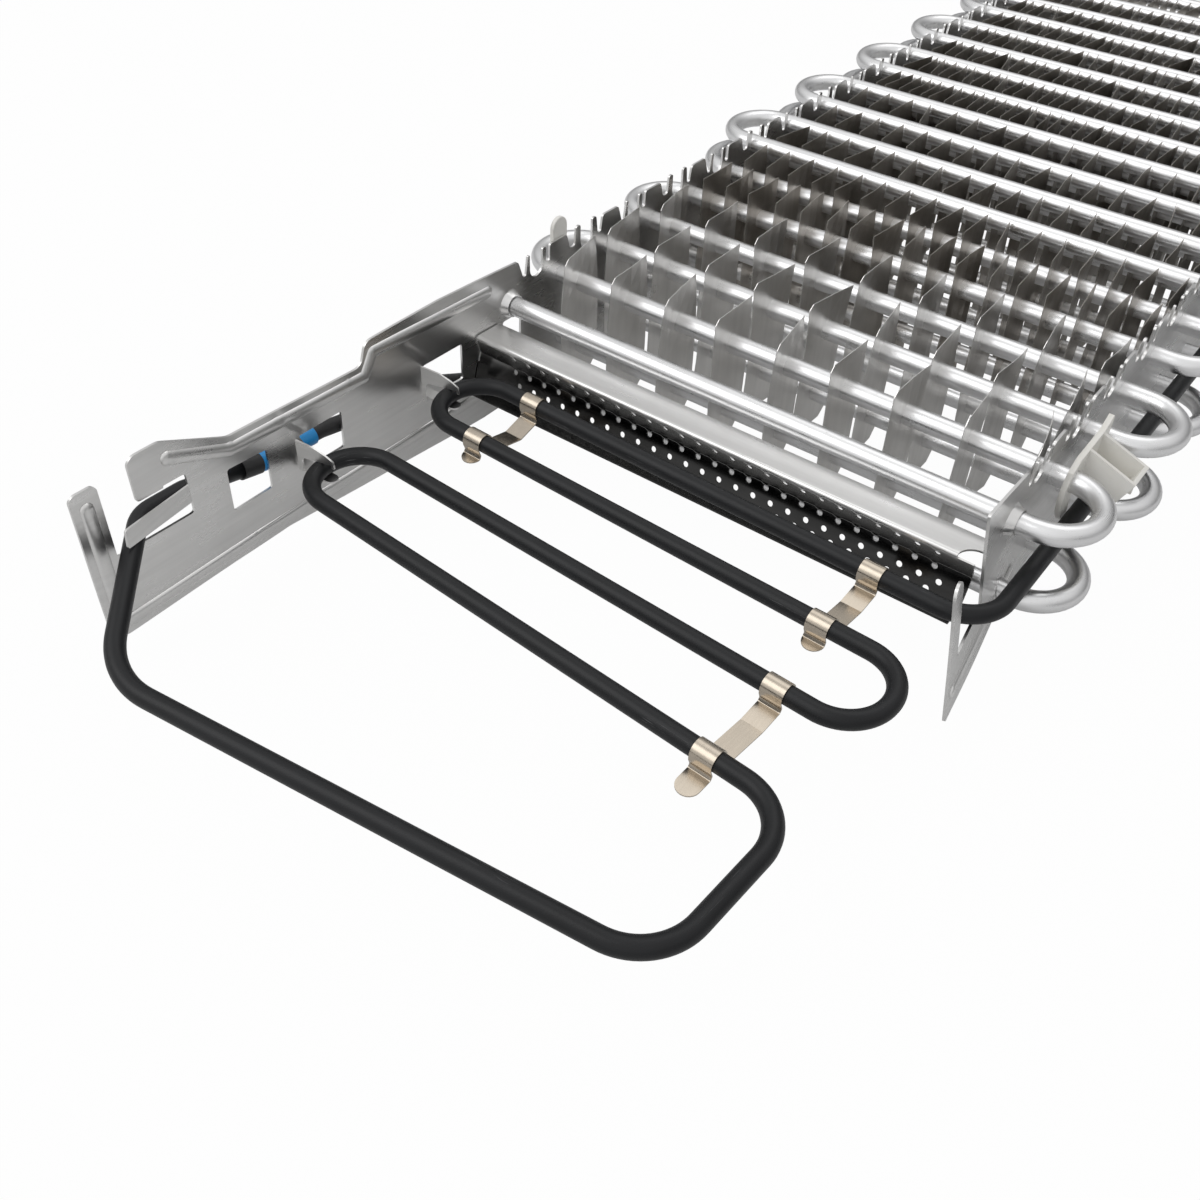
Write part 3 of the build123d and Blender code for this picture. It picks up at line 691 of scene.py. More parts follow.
def fin_row(row, half, thickness, unevenness, rng, material):
    """All fins of a row as one piece. Each fin is its flat sheet, leaned and turned a little, with
    its corners bent by an amount that grows with the square of the distance from the tubes."""
    closed = row < FIRST_MEDIUM_ROW
    top = FIN_TOP if row < FIRST_LOW_ROW else LOW_FIN_TOP
    y, z = fin_sheet(half / MM, top, closed)
    places = fin_places(row)
    count = len(places)
    lean, turn, curl, foot = rng.normal(0, 1, (4, count, 1, 1)) * unevenness / MM
    wave = rng.normal(0, 1, (count, 1, 1)) * 0.25
    edge = y / (half / MM)
    rise = (z + 15.0) / 30.0
    bend = lean * 0.35 * rise + turn * 0.7 * edge
    bend = bend + curl * np.maximum(rise, 0) ** 2 * edge * 1.2
    bend = bend + foot * np.maximum(-rise, 0) ** 2 * edge
    bend = bend + wave * np.sin(edge * 2.4 + rise)
    x = places[:, None, None] + bend
    whole = np.broadcast_arrays(x, y[None] + (row - 1) * ROW_PITCH, z[None])
    sheet = np.stack(whole, -1).reshape(count, -1, 3)
    shift = np.array([thickness / MM / 2, 0.0, 0.0])
    points = np.concatenate([sheet + shift, sheet - shift], 1)
    one = sheet_faces(*y.shape)
    faces = one[None] + (np.arange(count) * points.shape[1])[:, None, None]
    faces = faces.reshape(-1, 4).tolist()
    name = "fins_row_%02d" % row
    piece = new_piece(name, in_frame(points.reshape(-1, 3)), faces, material, smooth=False)
    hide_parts("fin_row_%02d" % row)
    return piece


def denser(loop, step):
    """Adds evenly spaced points to a closed loop, so that none of its edges is longer than step."""
    points = np.asarray(loop, float)
    ahead = np.roll(points, -1, axis=0)
    counts = np.maximum(np.ceil(np.linalg.norm(ahead - points, axis=1) / step).astype(int), 1)
    index = np.repeat(np.arange(len(points)), counts)
    share = np.concatenate([np.arange(count) / count for count in counts])[:, None]
    return points[index] * (1 - share) + ahead[index] * share


def finer(path, step):
    """Adds evenly spaced points to an open path, so that none of its pieces is longer than step."""
    lengths = lengths_along(path)
    spans = zip(lengths, lengths[1:])
    pieces = [np.linspace(a, b, int(np.ceil((b - a) / step)) + 1)[:-1] for a, b in spans]
    places = np.append(np.concatenate(pieces), lengths[-1])
    return np.stack([np.interp(places, lengths, path[:, k]) for k in range(3)], -1)


def inside(points, loop):
    """Whether each point lies in a closed loop: a level ray from it crosses the loop an odd number of
    times."""
    u, v = points[:, :1], points[:, 1:]
    u0, v0 = loop.T
    u1, v1 = np.roll(loop, -1, axis=0).T
    rise = np.where(v1 == v0, 1.0, v1 - v0)
    crossed = ((v0 > v) != (v1 > v)) & (u < u0 + (v - v0) * (u1 - u0) / rise)
    return crossed.sum(1) % 2 == 1


def chain_distance(points, chain):
    """Distance from each point to the nearest piece of a chain of straight pieces."""
    chain = np.asarray(chain, float)
    way = np.diff(chain, axis=0)
    apart = points[:, None] - chain[None, :-1]
    share = np.clip((apart * way).sum(-1) / (way ** 2).sum(1), 0, 1)
    return np.linalg.norm(apart - share[..., None] * way, axis=-1).min(1)


def clear_of(points, loop, gap):
    """Whether each point is farther than a gap from a closed loop."""
    near = ((points > loop.min(0) - gap) & (points < loop.max(0) + gap)).all(1)
    clear = ~near
    if near.any():
        chain = np.concatenate([loop, loop[:1]])
        blocks = np.array_split(points[near], near.sum() // 1000 + 1)
        clear[near] = np.concatenate([chain_distance(block, chain) for block in blocks]) > gap
    return clear


def flat_pattern(outline, holes, columns, rows, step, beads=()):
    """Points and triangles of a flat pattern: its outline and holes, a grid of inner points at chosen
    columns and rows, and lines of points along its beads, joined by the triangulation that keeps
    angles wide."""
    loops = [denser(loop, step) for loop in (outline, *holes)]
    grid = np.stack(np.meshgrid(columns, rows), -1).reshape(-1, 2)
    for chain in beads:
        grid = grid[chain_distance(grid, chain) > BEAD_FLAT + BEAD_SIDE + 0.5]
    grid = np.concatenate([grid, *[beside(chain) for chain in beads]])
    grid = grid[inside(grid, loops[0])]
    for loop in loops[1:]:
        grid = grid[~inside(grid, loop)]
    for loop in loops:
        grid = grid[clear_of(grid, loop, step * 0.4)]
    edges, first = [], 0
    for loop in loops:
        edges += [(first + i, first + (i + 1) % len(loop)) for i in range(len(loop))]
        first += len(loop)
    points = [Vector(point) for point in np.concatenate([*loops, grid]).tolist()]
    spots, _, faces, *_ = delaunay_2d_cdt(points, edges, [], 0, 1e-5)
    spots = np.array([tuple(spot) for spot in spots])
    faces = np.array(faces)
    middle = spots[faces].mean(1)
    kept = inside(middle, loops[0])
    for loop in loops[1:]:
        kept &= ~inside(middle, loop)
    return spots, faces[kept]


def thin_sheet(pattern, place, thickness):
    """Vertices and faces of a bent sheet. Each point (u, v) of its flat pattern goes to place(u, v),
    and from there half the thickness to either side, along the cross product of place's slopes."""
    spots, faces = pattern
    u, v = spots.T
    reach = 0.02
    along = place(u + reach, v) - place(u - reach, v)
    across = place(u, v + reach) - place(u, v - reach)
    half = unit(np.cross(along, across)) * thickness / 2
    here = place(u, v)
    count = len(spots)
    sides = np.concatenate([faces[:, [0, 1]], faces[:, [1, 2]], faces[:, [2, 0]]])
    own = sides[:, 0] * count + sides[:, 1]
    rim = sides[~np.isin(own, sides[:, 1] * count + sides[:, 0])]
    edge = np.stack([rim[:, 1], rim[:, 0], rim[:, 0] + count, rim[:, 1] + count], -1)
    faces = faces.tolist() + (faces[:, ::-1] + count).tolist() + edge.tolist()
    return np.concatenate([here + half, here - half]), faces


def sheet_piece(name, node, parts, material):
    """One piece from several sheets, smooth but for its cut edges, that stands for a solid."""
    points, faces, first = [], [], 0
    for part_points, part_faces in parts:
        points.append(part_points)
        faces += [[first + i for i in face] for face in part_faces]
        first += len(part_points)
    piece = new_piece(name, in_frame(np.concatenate(points)), faces, material)
    piece.data.set_sharp_from_angle(angle=0.9)
    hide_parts(node)
    return piece


def carried_line(path, side):
    """The place function of a line that is carried along a path: the path's point at length u, and
    from there v times the side vector. It comes with the lengths of the path's own points."""
    lengths = lengths_along(path)
    side = np.asarray(side, float)

    def place(u, v):
        on_path = np.stack([np.interp(u, lengths, path[:, k]) for k in range(3)], -1)
        beyond = np.clip(u - lengths[-1], 0, None) + np.clip(u, None, 0)
        ends = np.where((u < 0)[:, None], unit(path[1:2] - path[:1]), unit(path[-1:] - path[-2:-1]))
        return on_path + ends * beyond[:, None] + side * v[:, None]
    return place, lengths


def circle(centre, radius, count, start=0.0, end=2 * np.pi):
    """Points on a circle, or on the part of it between two angles, both ends included."""
    whole = end - start >= 2 * np.pi
    angle = start + (end - start) * np.arange(count) / (count if whole else count - 1)
    return np.stack([centre[0] + radius * np.cos(angle), centre[1] + radius * np.sin(angle)], -1)


def ridge(points, chain, flat, side):
    """Height of a pressed ridge: 1 up to a distance flat from its line, then 3 s^2 - 2 s^3, where s
    goes from 1 to 0 over its side."""
    share = np.clip((flat + side - chain_distance(points, chain)) / side, 0, 1)
    return share ** 2 * (3 - 2 * share)


def beside(chain):
    """Points in lines along a bead, at the distances where its profile turns, and round its ends."""
    chain = np.asarray(chain, float)
    wanted = np.array([0.0, BEAD_FLAT, BEAD_FLAT + BEAD_SIDE / 2, BEAD_FLAT + BEAD_SIDE])
    lines = []
    for away in wanted:
        for start, end in zip(chain, chain[1:]):
            length = np.linalg.norm(end - start)
            share = np.linspace(0, 1, int(length / BEAD_STEP) + 2)[:, None]
            square = np.array([start[1] - end[1], end[0] - start[0]]) / length * away
            line = start + (end - start) * share
            lines += [line + square, line - square]
        lines += [circle(end, away, 14) for end in chain if away]
    points = np.concatenate(lines)
    apart = chain_distance(points, chain)
    points = points[np.abs(apart[:, None] - wanted).min(1) < 0.03]
    return np.unique(np.round(points, 2), axis=0)


def rounded(loop, reach):
    """A closed loop with rounded corners. From a point a before a corner p to a point b after it, the
    curve is (1 - s)^2 a + 2 s (1 - s) p + s^2 b."""
    points = np.asarray(loop, float)
    back = np.roll(points, 1, axis=0) - points
    ahead = np.roll(points, -1, axis=0) - points
    room = np.minimum(np.linalg.norm(back, axis=1), np.linalg.norm(ahead, axis=1))[:, None] * 0.4
    cut = np.minimum(reach, room)
    a = (points + unit(back) * cut)[:, None]
    b = (points + unit(ahead) * cut)[:, None]
    s = np.linspace(0, 1, 4)[:, None]
    return ((1 - s) ** 2 * a + 2 * s * (1 - s) * points[:, None] + s ** 2 * b).reshape(-1, 2)


def top_edge(y0):
    """Top edge of an end plate over two rows: notches, round slots for the upper tube and fingers."""
    top, high = PLATE_TOP, PLATE_TOP + 1
    slots = [y0 + ROW_PITCH / 2, y0 + ROW_PITCH * 1.5]
    first, second = [circle((y, UPPER_RISE), HOLE_R, 9, np.pi, 2 * np.pi).tolist() for y in slots]

    def notch(edges, before, floor, after):
        heights = (before, floor, floor, after)
        return [(y0 + edge, height) for edge, height in zip(edges, heights)]
    points = notch((5.5, 8.4, 10.2, 11.6), top, SLOT_FLOOR - 1, top)
    points += [(slots[0] - HOLE_R, top), *first, (slots[0] + HOLE_R, top)]
    points += notch((23.0, 23.0, 25.6, 25.6), top, SLOT_FLOOR, top)
    points += notch((37.0, 39.0, 42.6, 43.4), top, SLOT_FLOOR, high)
    points += [(slots[1] - HOLE_R, high), *second, (slots[1] + HOLE_R, high)]
    return points + notch((57.0, 58.0, 60.2, 61.6), high, SLOT_FLOOR, top)


def coil_top_edge():
    """Top edge of the part of an end plate that the coil passes, toward the far end."""
    points = []
    for pair in range((ROW_COUNT - 1) // 2):
        points += top_edge(pair * 2 * ROW_PITCH)
    last = (ROW_COUNT - 1) * ROW_PITCH
    points += [point for point in top_edge(last) if point[0] < last + 22.0]
    return points + [(PLATE_END, PLATE_TOP)]


def plate_pattern(outline, windows, low_hole, beads):
    """Flat pattern of an end plate, fine in front and coarser along the coil. The first hole is
    wider, for its collar, and the one below it has a centre and a radius of its own."""
    holes = [circle((0.0, 0.0), HOLE_R + PLATE_T / 2, 24), circle(*low_hole, 24)]
    for row in range(1, ROW_COUNT):
        holes += [circle((row * ROW_PITCH, z), HOLE_R, 20) for z in (0.0, -LAYER_DROP)]
    columns = np.concatenate([np.arange(-202.0, 24.0, 1.2), np.arange(26.0, PLATE_END, 4.0)])
    rows = np.arange(PLATE_BOTTOM + 0.5, 22.5, 1.3)
    holes += [rounded(window, WINDOW_CUT) for window in windows]
    return flat_pattern(rounded(outline, CORNER_CUT), holes, columns, rows, 1.6, beads)


def pressed(points, beads, creases=()):
    """How far a plate's sheet stands out of its plane. Slow waves are two sines of a tenth of a
    millimetre, the collar round the first tube's hole falls off as exp(-(distance / 0.55)^2), and
    beads and creases are ridges along their lines."""
    y, z = points.T
    apart = np.clip(np.linalg.norm(points, axis=1) - HOLE_R - PLATE_T / 2, 0, None)
    x = COLLAR_REACH * np.exp(-(apart / COLLAR_FLARE) ** 2)
    x = x + 0.12 * np.sin(y * 0.061 + z * 0.05) + 0.08 * np.sin(y * 0.117 - z * 0.09 + 1.3)
    for chain in beads:
        x = x + BEAD_H * ridge(points, chain, BEAD_FLAT, BEAD_SIDE)
    for chain, depth in creases:
        x = x - depth * ridge(points, chain, 0.0, CREASE_SIDE)
    return x


def left_plate_sheets():
    """The left plate: its sheet with beads, creases and collar, and the tabs bent out of it."""
    outline = [*LEFT_FRONT, *coil_top_edge(), (PLATE_END, PLATE_BOTTOM), *LEFT_FOOT]

    def place(y, z):
        x = pressed(np.stack([y, z], -1), LEFT_BEADS, LEFT_CREASES) - PLATE_T / 2
        return np.stack([x, y, z], -1)
    pattern = plate_pattern(outline, LEFT_WINDOWS, ((0.0, -LAYER_DROP), HOLE_R), LEFT_BEADS)
    hooks = [hook_tab(*hook) for hook in HOOKS]
    feet = [heater_foot(*foot) for foot in FEET]
    return [thin_sheet(pattern, place, PLATE_T), heater_tongue(), *hooks, *feet]


def heater_tongue():
    """Straight tongue bent out of the mouth's rear edge, over the heater."""
    line = np.array(TONGUE_LINE)
    way = unit(line[1] - line[0])
    up = unit(np.array([0.0, 0.0, 1.0]) - way * way[2])
    place, lengths = carried_line(finer(line, 2.0), up)
    end = lengths[-1]
    half = TONGUE_HALF
    outline = rounded([(0.0, -half), (end, -half), (end, half), (0.0, half)], 0.9)
    pattern = flat_pattern(outline, [], np.arange(1.0, end, 1.5), np.arange(-2.0, 2.5, 1.3), 1.2)
    return thin_sheet(pattern, place, TAB_T)


def hook_tab(y, tip, foot):
    """Tab bent out of the plate along a slit, lying over the heater's turn with a hook behind it."""
    rest = HEATER_Z + HEATER_R + 0.1
    root = -PLATE_T / 2
    corners = [(root, rest + 7), (root, foot), (1.6, foot), (1.6, rest - 1.4), (2.6, rest)]
    hook = [(-1.2, 0.0), (-0.9, -1.4), (0.0, -1.4), (-0.3, 1.4), (-3.5, 3.6), (-8.0, 5.6)]
    corners += [(tip + u, rest + v) for u, v in hook]
    turn = np.radians(TAB_TURN)

    def place(u, v):
        return np.stack([u * np.cos(turn), y + u * np.sin(turn), v], -1)
    return thin_sheet(flat_pattern(corners, [], [], [], 1.5), place, TAB_T)


def heater_foot(y, tip):
    """Round-ended foot under the heater's turn."""
    level = HEATER_Z - HEATER_R - 0.05 - TAB_T / 2
    outline = [(-PLATE_T / 2, FOOT_HALF), (-PLATE_T / 2, -FOOT_HALF)]
    outline += circle((tip - FOOT_HALF, 0.0), FOOT_HALF, 11, -np.pi / 2, np.pi / 2).tolist()

    def place(u, v):
        return np.stack([u, y + v, level + 0.0 * u], -1)
    return thin_sheet(flat_pattern(outline, [], [], [], 1.5), place, TAB_T)


def right_plate_sheets():
    """The right plate. In front of a slanting fold its sheet turns outward, by a rounded bend: a
    point at a distance s in front of the fold goes s cos a along the sheet and s sin a outward."""
    outline = [*RIGHT_FRONT, *coil_top_edge(), (PLATE_END, PLATE_BOTTOM)]
    lean = np.radians(NOSE_ANGLE)
    front = np.array([-np.sqrt(0.5), -np.sqrt(0.5)])

    def place(y, z):
        flat = np.stack([y, z], -1)
        ahead = (flat - FOLD_LOW) @ front
        bent = np.logaddexp(0.0, ahead / FOLD_ROUND) * FOLD_ROUND
        moved = flat - front * (bent * (1 - np.cos(lean)))[:, None]
        x = PLATE_GAP + PLATE_T / 2 + bent * np.sin(lean) + pressed(flat, [RIGHT_BEAD])
        return np.concatenate([x[:, None], moved], -1)
    pattern = plate_pattern(outline, [], ((-0.3, -LAYER_DROP - 0.3), HOLE_R + 1.0), [RIGHT_BEAD])
    return [thin_sheet(pattern, place, PLATE_T)]


def strip_sheets():
    """The perforated strip: its folded line in the YZ plane, carried along X, with rows of holes, a
    notch at the flange's front right corner and a tongue through the left plate."""
    folds = np.array([(0.0, y, z) for y, z in STRIP_FOLDS])
    path = finer(rounded_path(folds, [1.0, 1.0, 1.0], 0.4)[0], 0.5)
    place, lengths = carried_line(path, (1.0, 0.0, 0.0))

    def length_at(fold, distance):
        point = folds[fold] + unit(folds[fold + 1] - folds[fold]) * distance
        return lengths[np.linalg.norm(path - point, axis=1).argmin()]
    left, right = STRIP_ENDS
    corner = length_at(1, 0.0)
    near, far = [length_at(2, distance) for distance in STRIP_TONGUE]
    outline = [(0.0, left), (near, left), (near, STRIP_TONGUE_END), (far, STRIP_TONGUE_END)]
    outline += [(far, left), (lengths[-1], left), (lengths[-1], right), (corner + 0.6, right)]
    outline += [(corner + 0.6, right - FLANGE_NOTCH_R), (corner, right - FLANGE_NOTCH_R)]
    outline += circle((corner, right), FLANGE_NOTCH_R, 8, -np.pi / 2, -np.pi)[1:].tolist()
    outline += [(0.0, right)]
    holes = [circle((length_at(fold, away), x + shift), STRIP_HOLE_R, 14)
             for fold, away, shift in STRIP_ROWS for x in STRIP_HOLES]
    pattern = flat_pattern(outline, holes, lengths, np.arange(2.0, right, 3.7), 1.0)
    return [thin_sheet(pattern, place, STRIP_T)]


def run_at(first, x):
    """Y of a heater run at a given X, between two corners of its route, and the run's slope."""
    x0, y0, _ = HEATER_CORNERS[first]
    x1, y1, _ = HEATER_CORNERS[first + 1]
    slope = (y1 - y0) / (x1 - x0)
    return y0 + slope * (x - x0), slope


def clip_wrap(y):
    """Corners of a wrap over a heater run, from its rear lip to the tuck under the run's front."""
    top = HEATER_Z + CLIP_WRAP
    lip = HEATER_Z - 1.5
    tuck = HEATER_Z - CLIP_TUCK
    rear, front = y + CLIP_WRAP, y - CLIP_WRAP
    corners = [(rear, lip), (rear, top), (front, top), (front, lip), (front + 0.9, tuck)]
    return corners + [(front + 0.2, tuck - CLIP_STEP)]


def clip_sheets(x, rear, front, sag, tail):
    """A spring clip: a wrap over the rear run, a sagging bridge, a wrap over the front run and a
    rounded tail, as one line that is carried square to it."""
    rear_y, rear_slope = run_at(rear, x)
    front_y, front_slope = run_at(front, x)
    turn = np.arctan((rear_slope + front_slope) / 2)
    half = (rear_y - front_y) / 2 * np.cos(turn)
    low = HEATER_Z - CLIP_TUCK - CLIP_STEP
    bridge = [(half - CLIP_CREASE, low - sag), (-half + CLIP_WRAP, low)]
    corners = clip_wrap(half) + bridge + clip_wrap(-half) + [(-half - tail, low - 0.5)]
    wraps = [CLIP_WRAP, CLIP_WRAP, 1.0, 0.5, 0.5]
    radii = wraps + [1.5, 0.5, 0.1] + wraps
    local = np.array([(0.0, y, z) for y, z in corners])
    away = np.stack([-local[:, 1] * np.sin(turn), local[:, 1] * np.cos(turn), local[:, 2]], -1)
    path, _ = rounded_path(away + (x, (rear_y + front_y) / 2, 0.0), radii, 0.45)
    place, lengths = carried_line(path, (np.cos(turn), np.sin(turn), 0.0))
    wide = CLIP_W / 2
    end = lengths[-1]
    outline = [(0.0, wide - 0.5), (0.0, -wide + 0.5), (0.5, -wide)]
    outline += circle((end - wide, 0.0), wide, 13, -np.pi / 2, np.pi / 2).tolist() + [(0.5, wide)]
    pattern = flat_pattern(outline, [], lengths[1:-1], np.arange(-3.0, 3.5, 1.0), 0.5)
    return [thin_sheet(pattern, place, CLIP_T)]


def dress(node, material):
    """Gives a solid of the frame its finish."""
    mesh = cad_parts[node].data
    mesh.materials.clear()
    mesh.materials.append(material)


def edged_copy(node, name, material, width, angle):
    """A copy of a solid with its loose triangles joined and its sharp edges rounded."""
    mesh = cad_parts[node].data.copy()
    mesh.name = name
    mesh.materials.clear()
    mesh.materials.append(material)
    piece = shown(name, mesh)
    weld = piece.modifiers.new("join", "WELD")
    weld.merge_threshold = 0.000002
    flat = piece.modifiers.new("flat", "DECIMATE")
    flat.decimate_type = "DISSOLVE"
    flat.angle_limit = 0.02
    bevel = piece.modifiers.new("edge", "BEVEL")
    bevel.width = width
    bevel.segments = 2
    bevel.limit_method = "ANGLE"
    bevel.angle_limit = angle
    bevel.harden_normals = True
    mesh.polygons.foreach_set("use_smooth", [True] * len(mesh.polygons))
    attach(piece, "root")
    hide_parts(node)
    return piece


class EVAPORATOR_OT_coil_tube(bpy.types.Operator):
    """Makes the one continuous tube of the coil"""
    bl_idname = "evaporator.coil_tube"
    bl_label = "Coil Tube"

    def execute(self, context):
        tube = context.scene.evaporator_tube
        material = drawn_tube(tuple(tube.color), tube.roughness)
        path, tangents, ups = coil_path(tube.turn_steps)
        path, tangents, ups, radii = with_stub_ends(path, tangents, ups, tube.radius / MM)
        piece = round_bar("coil", path, tangents, ups, radii, tube.segments, material)
        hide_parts("coil_tube")
        return {"FINISHED"}


class EVAPORATOR_OT_heater(bpy.types.Operator):
    """Makes the looped defrost heater"""
    bl_idname = "evaporator.heater"
    bl_label = "Defrost Heater"

    def execute(self, context):
        heater = context.scene.evaporator_heater
        material = coated_heater(tuple(heater.color))
        path, tangents = rounded_path(HEATER_CORNERS, HEATER_RADII, 1.6)
        ups = np.tile([0.0, 0.0, 1.0], (len(path), 1))
        radii = np.full(len(path), heater.radius / MM)
        piece = round_bar("heater_rod", path, tangents, ups, radii, heater.segments, material)
        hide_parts("defrost_heater")
        return {"FINISHED"}


class EVAPORATOR_OT_heater_ends(bpy.types.Operator):
    """Finishes the collars, sleeves, leads and clips of the heater"""
    bl_idname = "evaporator.heater_ends"
    bl_label = "Heater Ends and Clips"

    def execute(self, context):
        heater = context.scene.evaporator_heater
        collar = dull_rubber("collar_rubber", tuple(heater.lead_color), 0.45)
        lead = dull_rubber("lead_rubber", tuple(heater.lead_color), 0.5)
        sleeve = dull_rubber("blue_sleeve", tuple(heater.sleeve_color), 0.38)
        clip = plated_clip(tuple(heater.clip_color))
        for end in ("1", "2"):
            dress("heater_end_collar_" + end, collar)
            dress("heater_end_sleeve_" + end, sleeve)
            dress("heater_lead_" + end, lead)
        for number, clip_size in enumerate(CLIPS, 1):
            parts = clip_sheets(*clip_size)
            sheet_piece("clip_%d" % number, "heater_clip_%d" % number, parts, clip)
        return {"FINISHED"}


class EVAPORATOR_OT_fins(bpy.types.Operator):
    """Makes the thin fins of every tube row"""
    bl_idname = "evaporator.fins"
    bl_label = "Fins"

    def execute(self, context):
        fins = context.scene.evaporator_fins
        # Rows behind get a darker foil colour, painted shade of the closely set fins, and a little
        # more roughness
        painted_rear_shade = ("Y", (0.11, 0.124), tuple(fins.rear_shade_color), 0.05)
        material = rolled_sheet(
            "fin_foil", tuple(fins.color), 0.33, 60.0, (20.0, 320.0, 26.0), painted_rear_shade)
        rng = np.random.default_rng(fins.seed)
        for row in range(2, ROW_COUNT + 1):
            fin_row(row, fins.half_width, fins.thickness, fins.unevenness, rng, material)
        return {"FINISHED"}


class EVAPORATOR_OT_end_plates(bpy.types.Operator):
    """Finishes both end plates"""
    bl_idname = "evaporator.end_plates"
    bl_label = "End Plates"

    def execute(self, context):
        sheet = context.scene.evaporator_sheet
        material = rolled_sheet(
            "plate_sheet", tuple(sheet.color), sheet.roughness, 34.0, (30.0, 24.0, 460.0))
        sheet_piece("plate_left", "left_end_plate", left_plate_sheets(), material)
        sheet_piece("plate_right", "right_end_plate", right_plate_sheets(), material)
        return {"FINISHED"}


class EVAPORATOR_OT_strip(bpy.types.Operator):
    """Finishes the perforated strip"""
    bl_idname = "evaporator.strip"
    bl_label = "Perforated Strip"

    def execute(self, context):
        sheet = context.scene.evaporator_sheet
        # Below the flange the strip's colour is nearly black: painted reflection of the black heater
        # and painted shade on the face and bevel; the flange keeps the sheet's lighter colour
        light_flange_over_painted_dark = ("Z", (0.0305, 0.0395), shade(sheet.color, 0.92), 0.15)
        material = rolled_sheet(
            "strip_sheet", shade(sheet.color, 0.09), 0.16, 40.0, (16.0, 380.0, 380.0), light_flange_over_painted_dark)
        sheet_piece("strip", "perforated_strip", strip_sheets(), material)
        return {"FINISHED"}


class EVAPORATOR_OT_holders(bpy.types.Operator):
    """Finishes the two plastic holders"""
    bl_idname = "evaporator.holders"
    bl_label = "Plastic Holders"

    def execute(self, context):
        material = moulded_plastic(tuple(context.scene.evaporator_holder.color))
        for side in ("right", "left"):
            edged_copy("holder_" + side, side + "_holder", material, 0.00045, 0.6)
        return {"FINISHED"}


def aim_camera(lens):
    """The photograph's camera, from its three angles and its place."""
    turn, tilt, roll = np.radians(CAMERA_ANGLES)
    right = np.array([np.cos(turn), np.sin(turn), 0.0])
    ahead = np.array([-np.sin(turn) * np.cos(tilt), np.cos(turn) * np.cos(tilt), -np.sin(tilt)])
    down = np.cross(ahead, right)
    across = right * np.cos(roll) + down * np.sin(roll)
    drop = down * np.cos(roll) - right * np.sin(roll)
    data = bpy.data.cameras.new("camera")
    data.lens = lens
    data.sensor_width = 36.0
    data.clip_start = 0.01
    data.clip_end = 50.0
    camera = shown("camera", data)
    placed = Matrix(np.stack([across, -drop, -ahead], -1).tolist()).to_4x4()
    placed.translation = Vector(in_frame(CAMERA_PLACE))
    camera.matrix_world = placed
    bpy.context.scene.camera = camera


def hang_lamp(name, away, power):
    """A square soft lamp, one metre wide, that hangs away from the coil's middle and looks at it."""
    data = bpy.data.lights.new(name, "AREA")
    data.shape = "SQUARE"
    data.size = 1.0
    data.energy = power
    lamp = shown(name, data)
    target = in_frame(LAMP_TARGET)
    place = target + np.array(away)
    lamp.location = place
    lamp.rotation_euler = (Vector(target) - Vector(place)).to_track_quat("-Z", "Y").to_euler()


def lay_floor(color):
    """A pale floor that the camera sees as white with a faint shadow, and that metal and glass see
    brighter than it is."""
    mesh = bpy.data.meshes.new("floor")
    mesh.from_pydata([(-5, -5, 0), (5, -5, 0), (5, 5, 0), (-5, 5, 0)], [], [(0, 1, 2, 3)])
    floor = shown("floor", mesh)
    floor.location = (0.0, 0.0, -0.0002)
    material, board = new_material("pale_floor")
    plain = board.node("ShaderNodeBsdfDiffuse", {}, {"Color": color})
    white = board.node("ShaderNodeEmission", {}, {"Color": (1.0, 1.0, 1.0), "Strength": 1.0})
    path = board.node("ShaderNodeLightPath")
    seen = path.out("Is Camera Ray") * FLOOR_SEEN_WHITE
    seen = seen + path.out("Is Glossy Ray") * FLOOR_MIRRORED_WHITE + path.out("Is Transmission Ray")
    values = {0: seen, 1: plain.out("BSDF"), 2: white.out("Emission")}
    mixed = board.node("ShaderNodeMixShader", {}, values)
    board.node("ShaderNodeOutputMaterial", {}, {"Surface": mixed.out("Shader")})
    mesh.materials.append(material)


def light_world(level):
    """A plain sky, white for the camera. What it lights sees it dimmer toward the horizon. Metal sees
    it brighter in front and dimmer behind, as in a studio that is open toward the camera."""
    world = bpy.data.worlds.new("studio")
    world.use_nodes = True
    bpy.context.scene.world = world
    board = Board(world.node_tree)
    path = board.node("ShaderNodeLightPath")
    way = board.node("ShaderNodeTexCoord").out("Generated")
    way = board.node("ShaderNodeSeparateXYZ", {}, {0: way})
    height = way.out("Z")
    front = (way.out("Y") * -1.0).ramp(0.25, 0.95) * (1.0 - height.ramp(0.35, 0.9))
    back = way.out("Y").ramp(0.35, 0.9) * (1.0 - height.ramp(0.5, 0.8))
    mirrored = height.ramp(0.08, 0.62) * 0.46 + height.ramp(0.62, 1.0) * 0.12
    mirrored = mirrored + front * 0.42 + 0.34 - back * 0.2
    lit = (height.ramp(0.0, 0.5) * 0.6 + 0.4) * level
    strength = path.out("Is Glossy Ray") * (mirrored - lit) + lit
    strength = strength * (1.0 - path.out("Is Camera Ray")) + path.out("Is Camera Ray")
    glow = board.node("ShaderNodeBackground", {}, {"Color": (1.0, 1.0, 1.0), "Strength": strength})
    board.node("ShaderNodeOutputWorld", {}, {"Surface": glow.out("Background")})


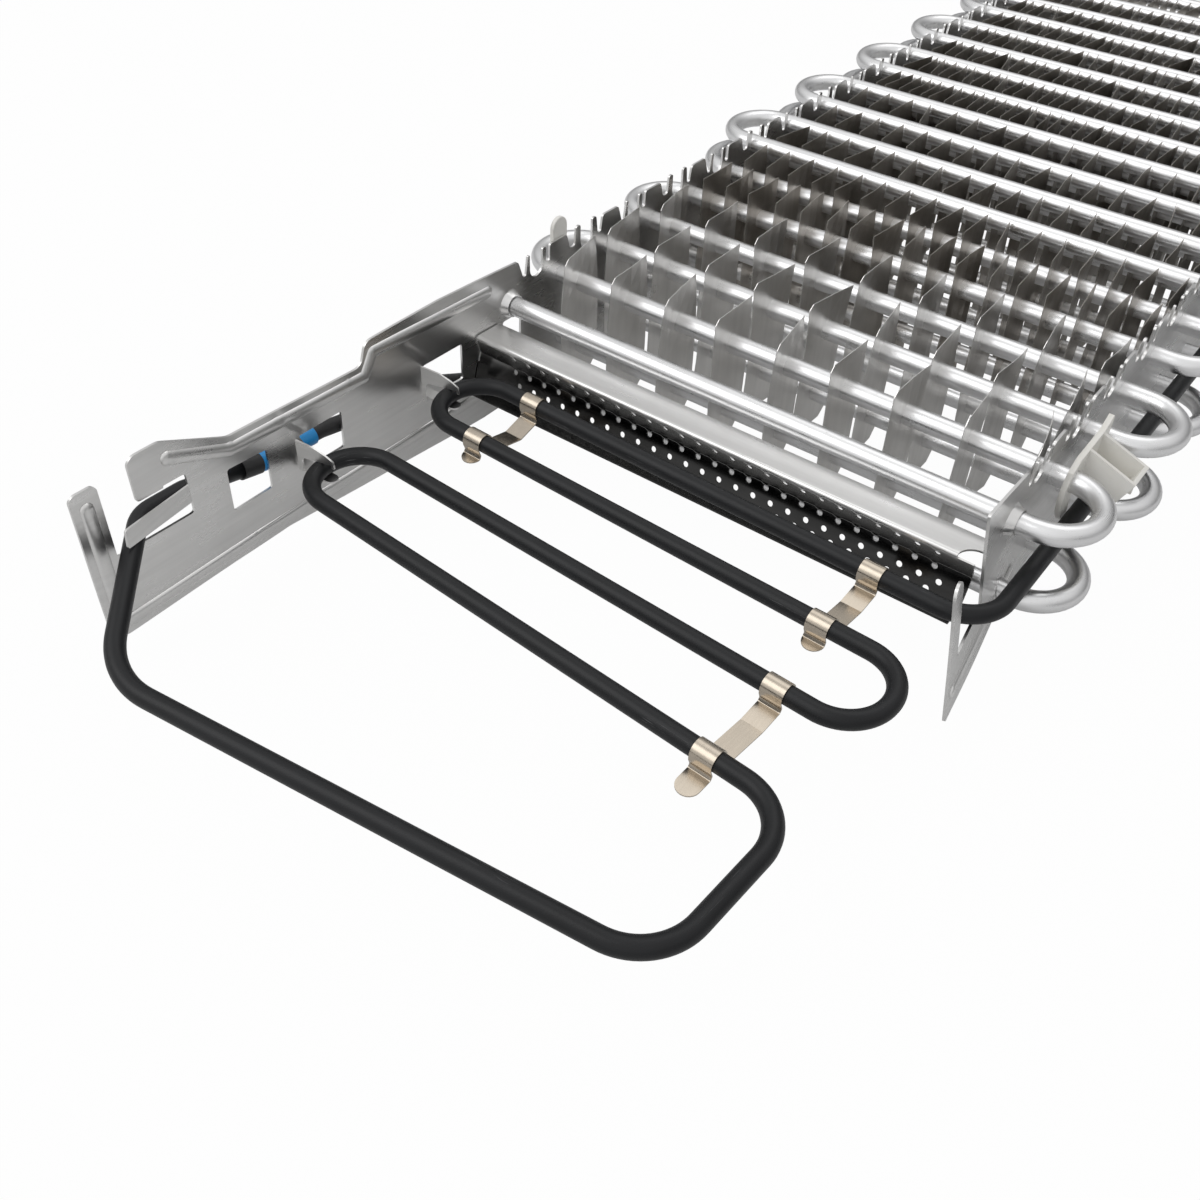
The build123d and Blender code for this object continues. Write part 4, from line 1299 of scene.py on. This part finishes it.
class EVAPORATOR_OT_stage(bpy.types.Operator):
    """Sets the camera, the pale floor and the soft light"""
    bl_idname = "evaporator.stage"
    bl_label = "Stage"

    def execute(self, context):
        stage = context.scene.evaporator_stage
        context.scene.view_settings.view_transform = "Standard"
        aim_camera(stage.lens)
        lay_floor(tuple(stage.floor_color))
        light_world(stage.sky_level)
        hang_lamp("key", (-0.62, -0.78, 1.05), stage.key_power)
        hang_lamp("top", (-0.1, 0.7, 1.4), stage.top_power)
        return {"FINISHED"}


class EVAPORATOR_PT_panel(bpy.types.Panel):
    """Lists the pieces of the evaporator"""
    bl_idname = "EVAPORATOR_PT_panel"
    bl_label = "Evaporator"
    bl_space_type = "VIEW_3D"
    bl_region_type = "UI"
    bl_category = "Evaporator"

    def draw(self, context):
        for operator in OPERATORS:
            self.layout.operator(operator.bl_idname)


SETTINGS = {
    "evaporator_tube": TubeSettings,
    "evaporator_heater": HeaterSettings,
    "evaporator_fins": FinSettings,
    "evaporator_sheet": SheetSettings,
    "evaporator_holder": HolderSettings,
    "evaporator_stage": StageSettings,
}
OPERATORS = [
    EVAPORATOR_OT_stage,
    EVAPORATOR_OT_coil_tube,
    EVAPORATOR_OT_heater,
    EVAPORATOR_OT_heater_ends,
    EVAPORATOR_OT_fins,
    EVAPORATOR_OT_end_plates,
    EVAPORATOR_OT_strip,
    EVAPORATOR_OT_holders,
]


def register():
    for group in (*SETTINGS.values(), *OPERATORS, EVAPORATOR_PT_panel):
        bpy.utils.register_class(group)
    for name, group in SETTINGS.items():
        setattr(bpy.types.Scene, name, PointerProperty(type=group))


def unregister():
    for name in SETTINGS:
        delattr(bpy.types.Scene, name)
    for group in (EVAPORATOR_PT_panel, *reversed(OPERATORS), *SETTINGS.values()):
        bpy.utils.unregister_class(group)


def build_evaporator():
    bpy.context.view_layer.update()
    register()
    for operator in OPERATORS:
        category, action = operator.bl_idname.split(".")
        getattr(getattr(bpy.ops, category), action)()


if __name__ == "__main__":
    build_evaporator()
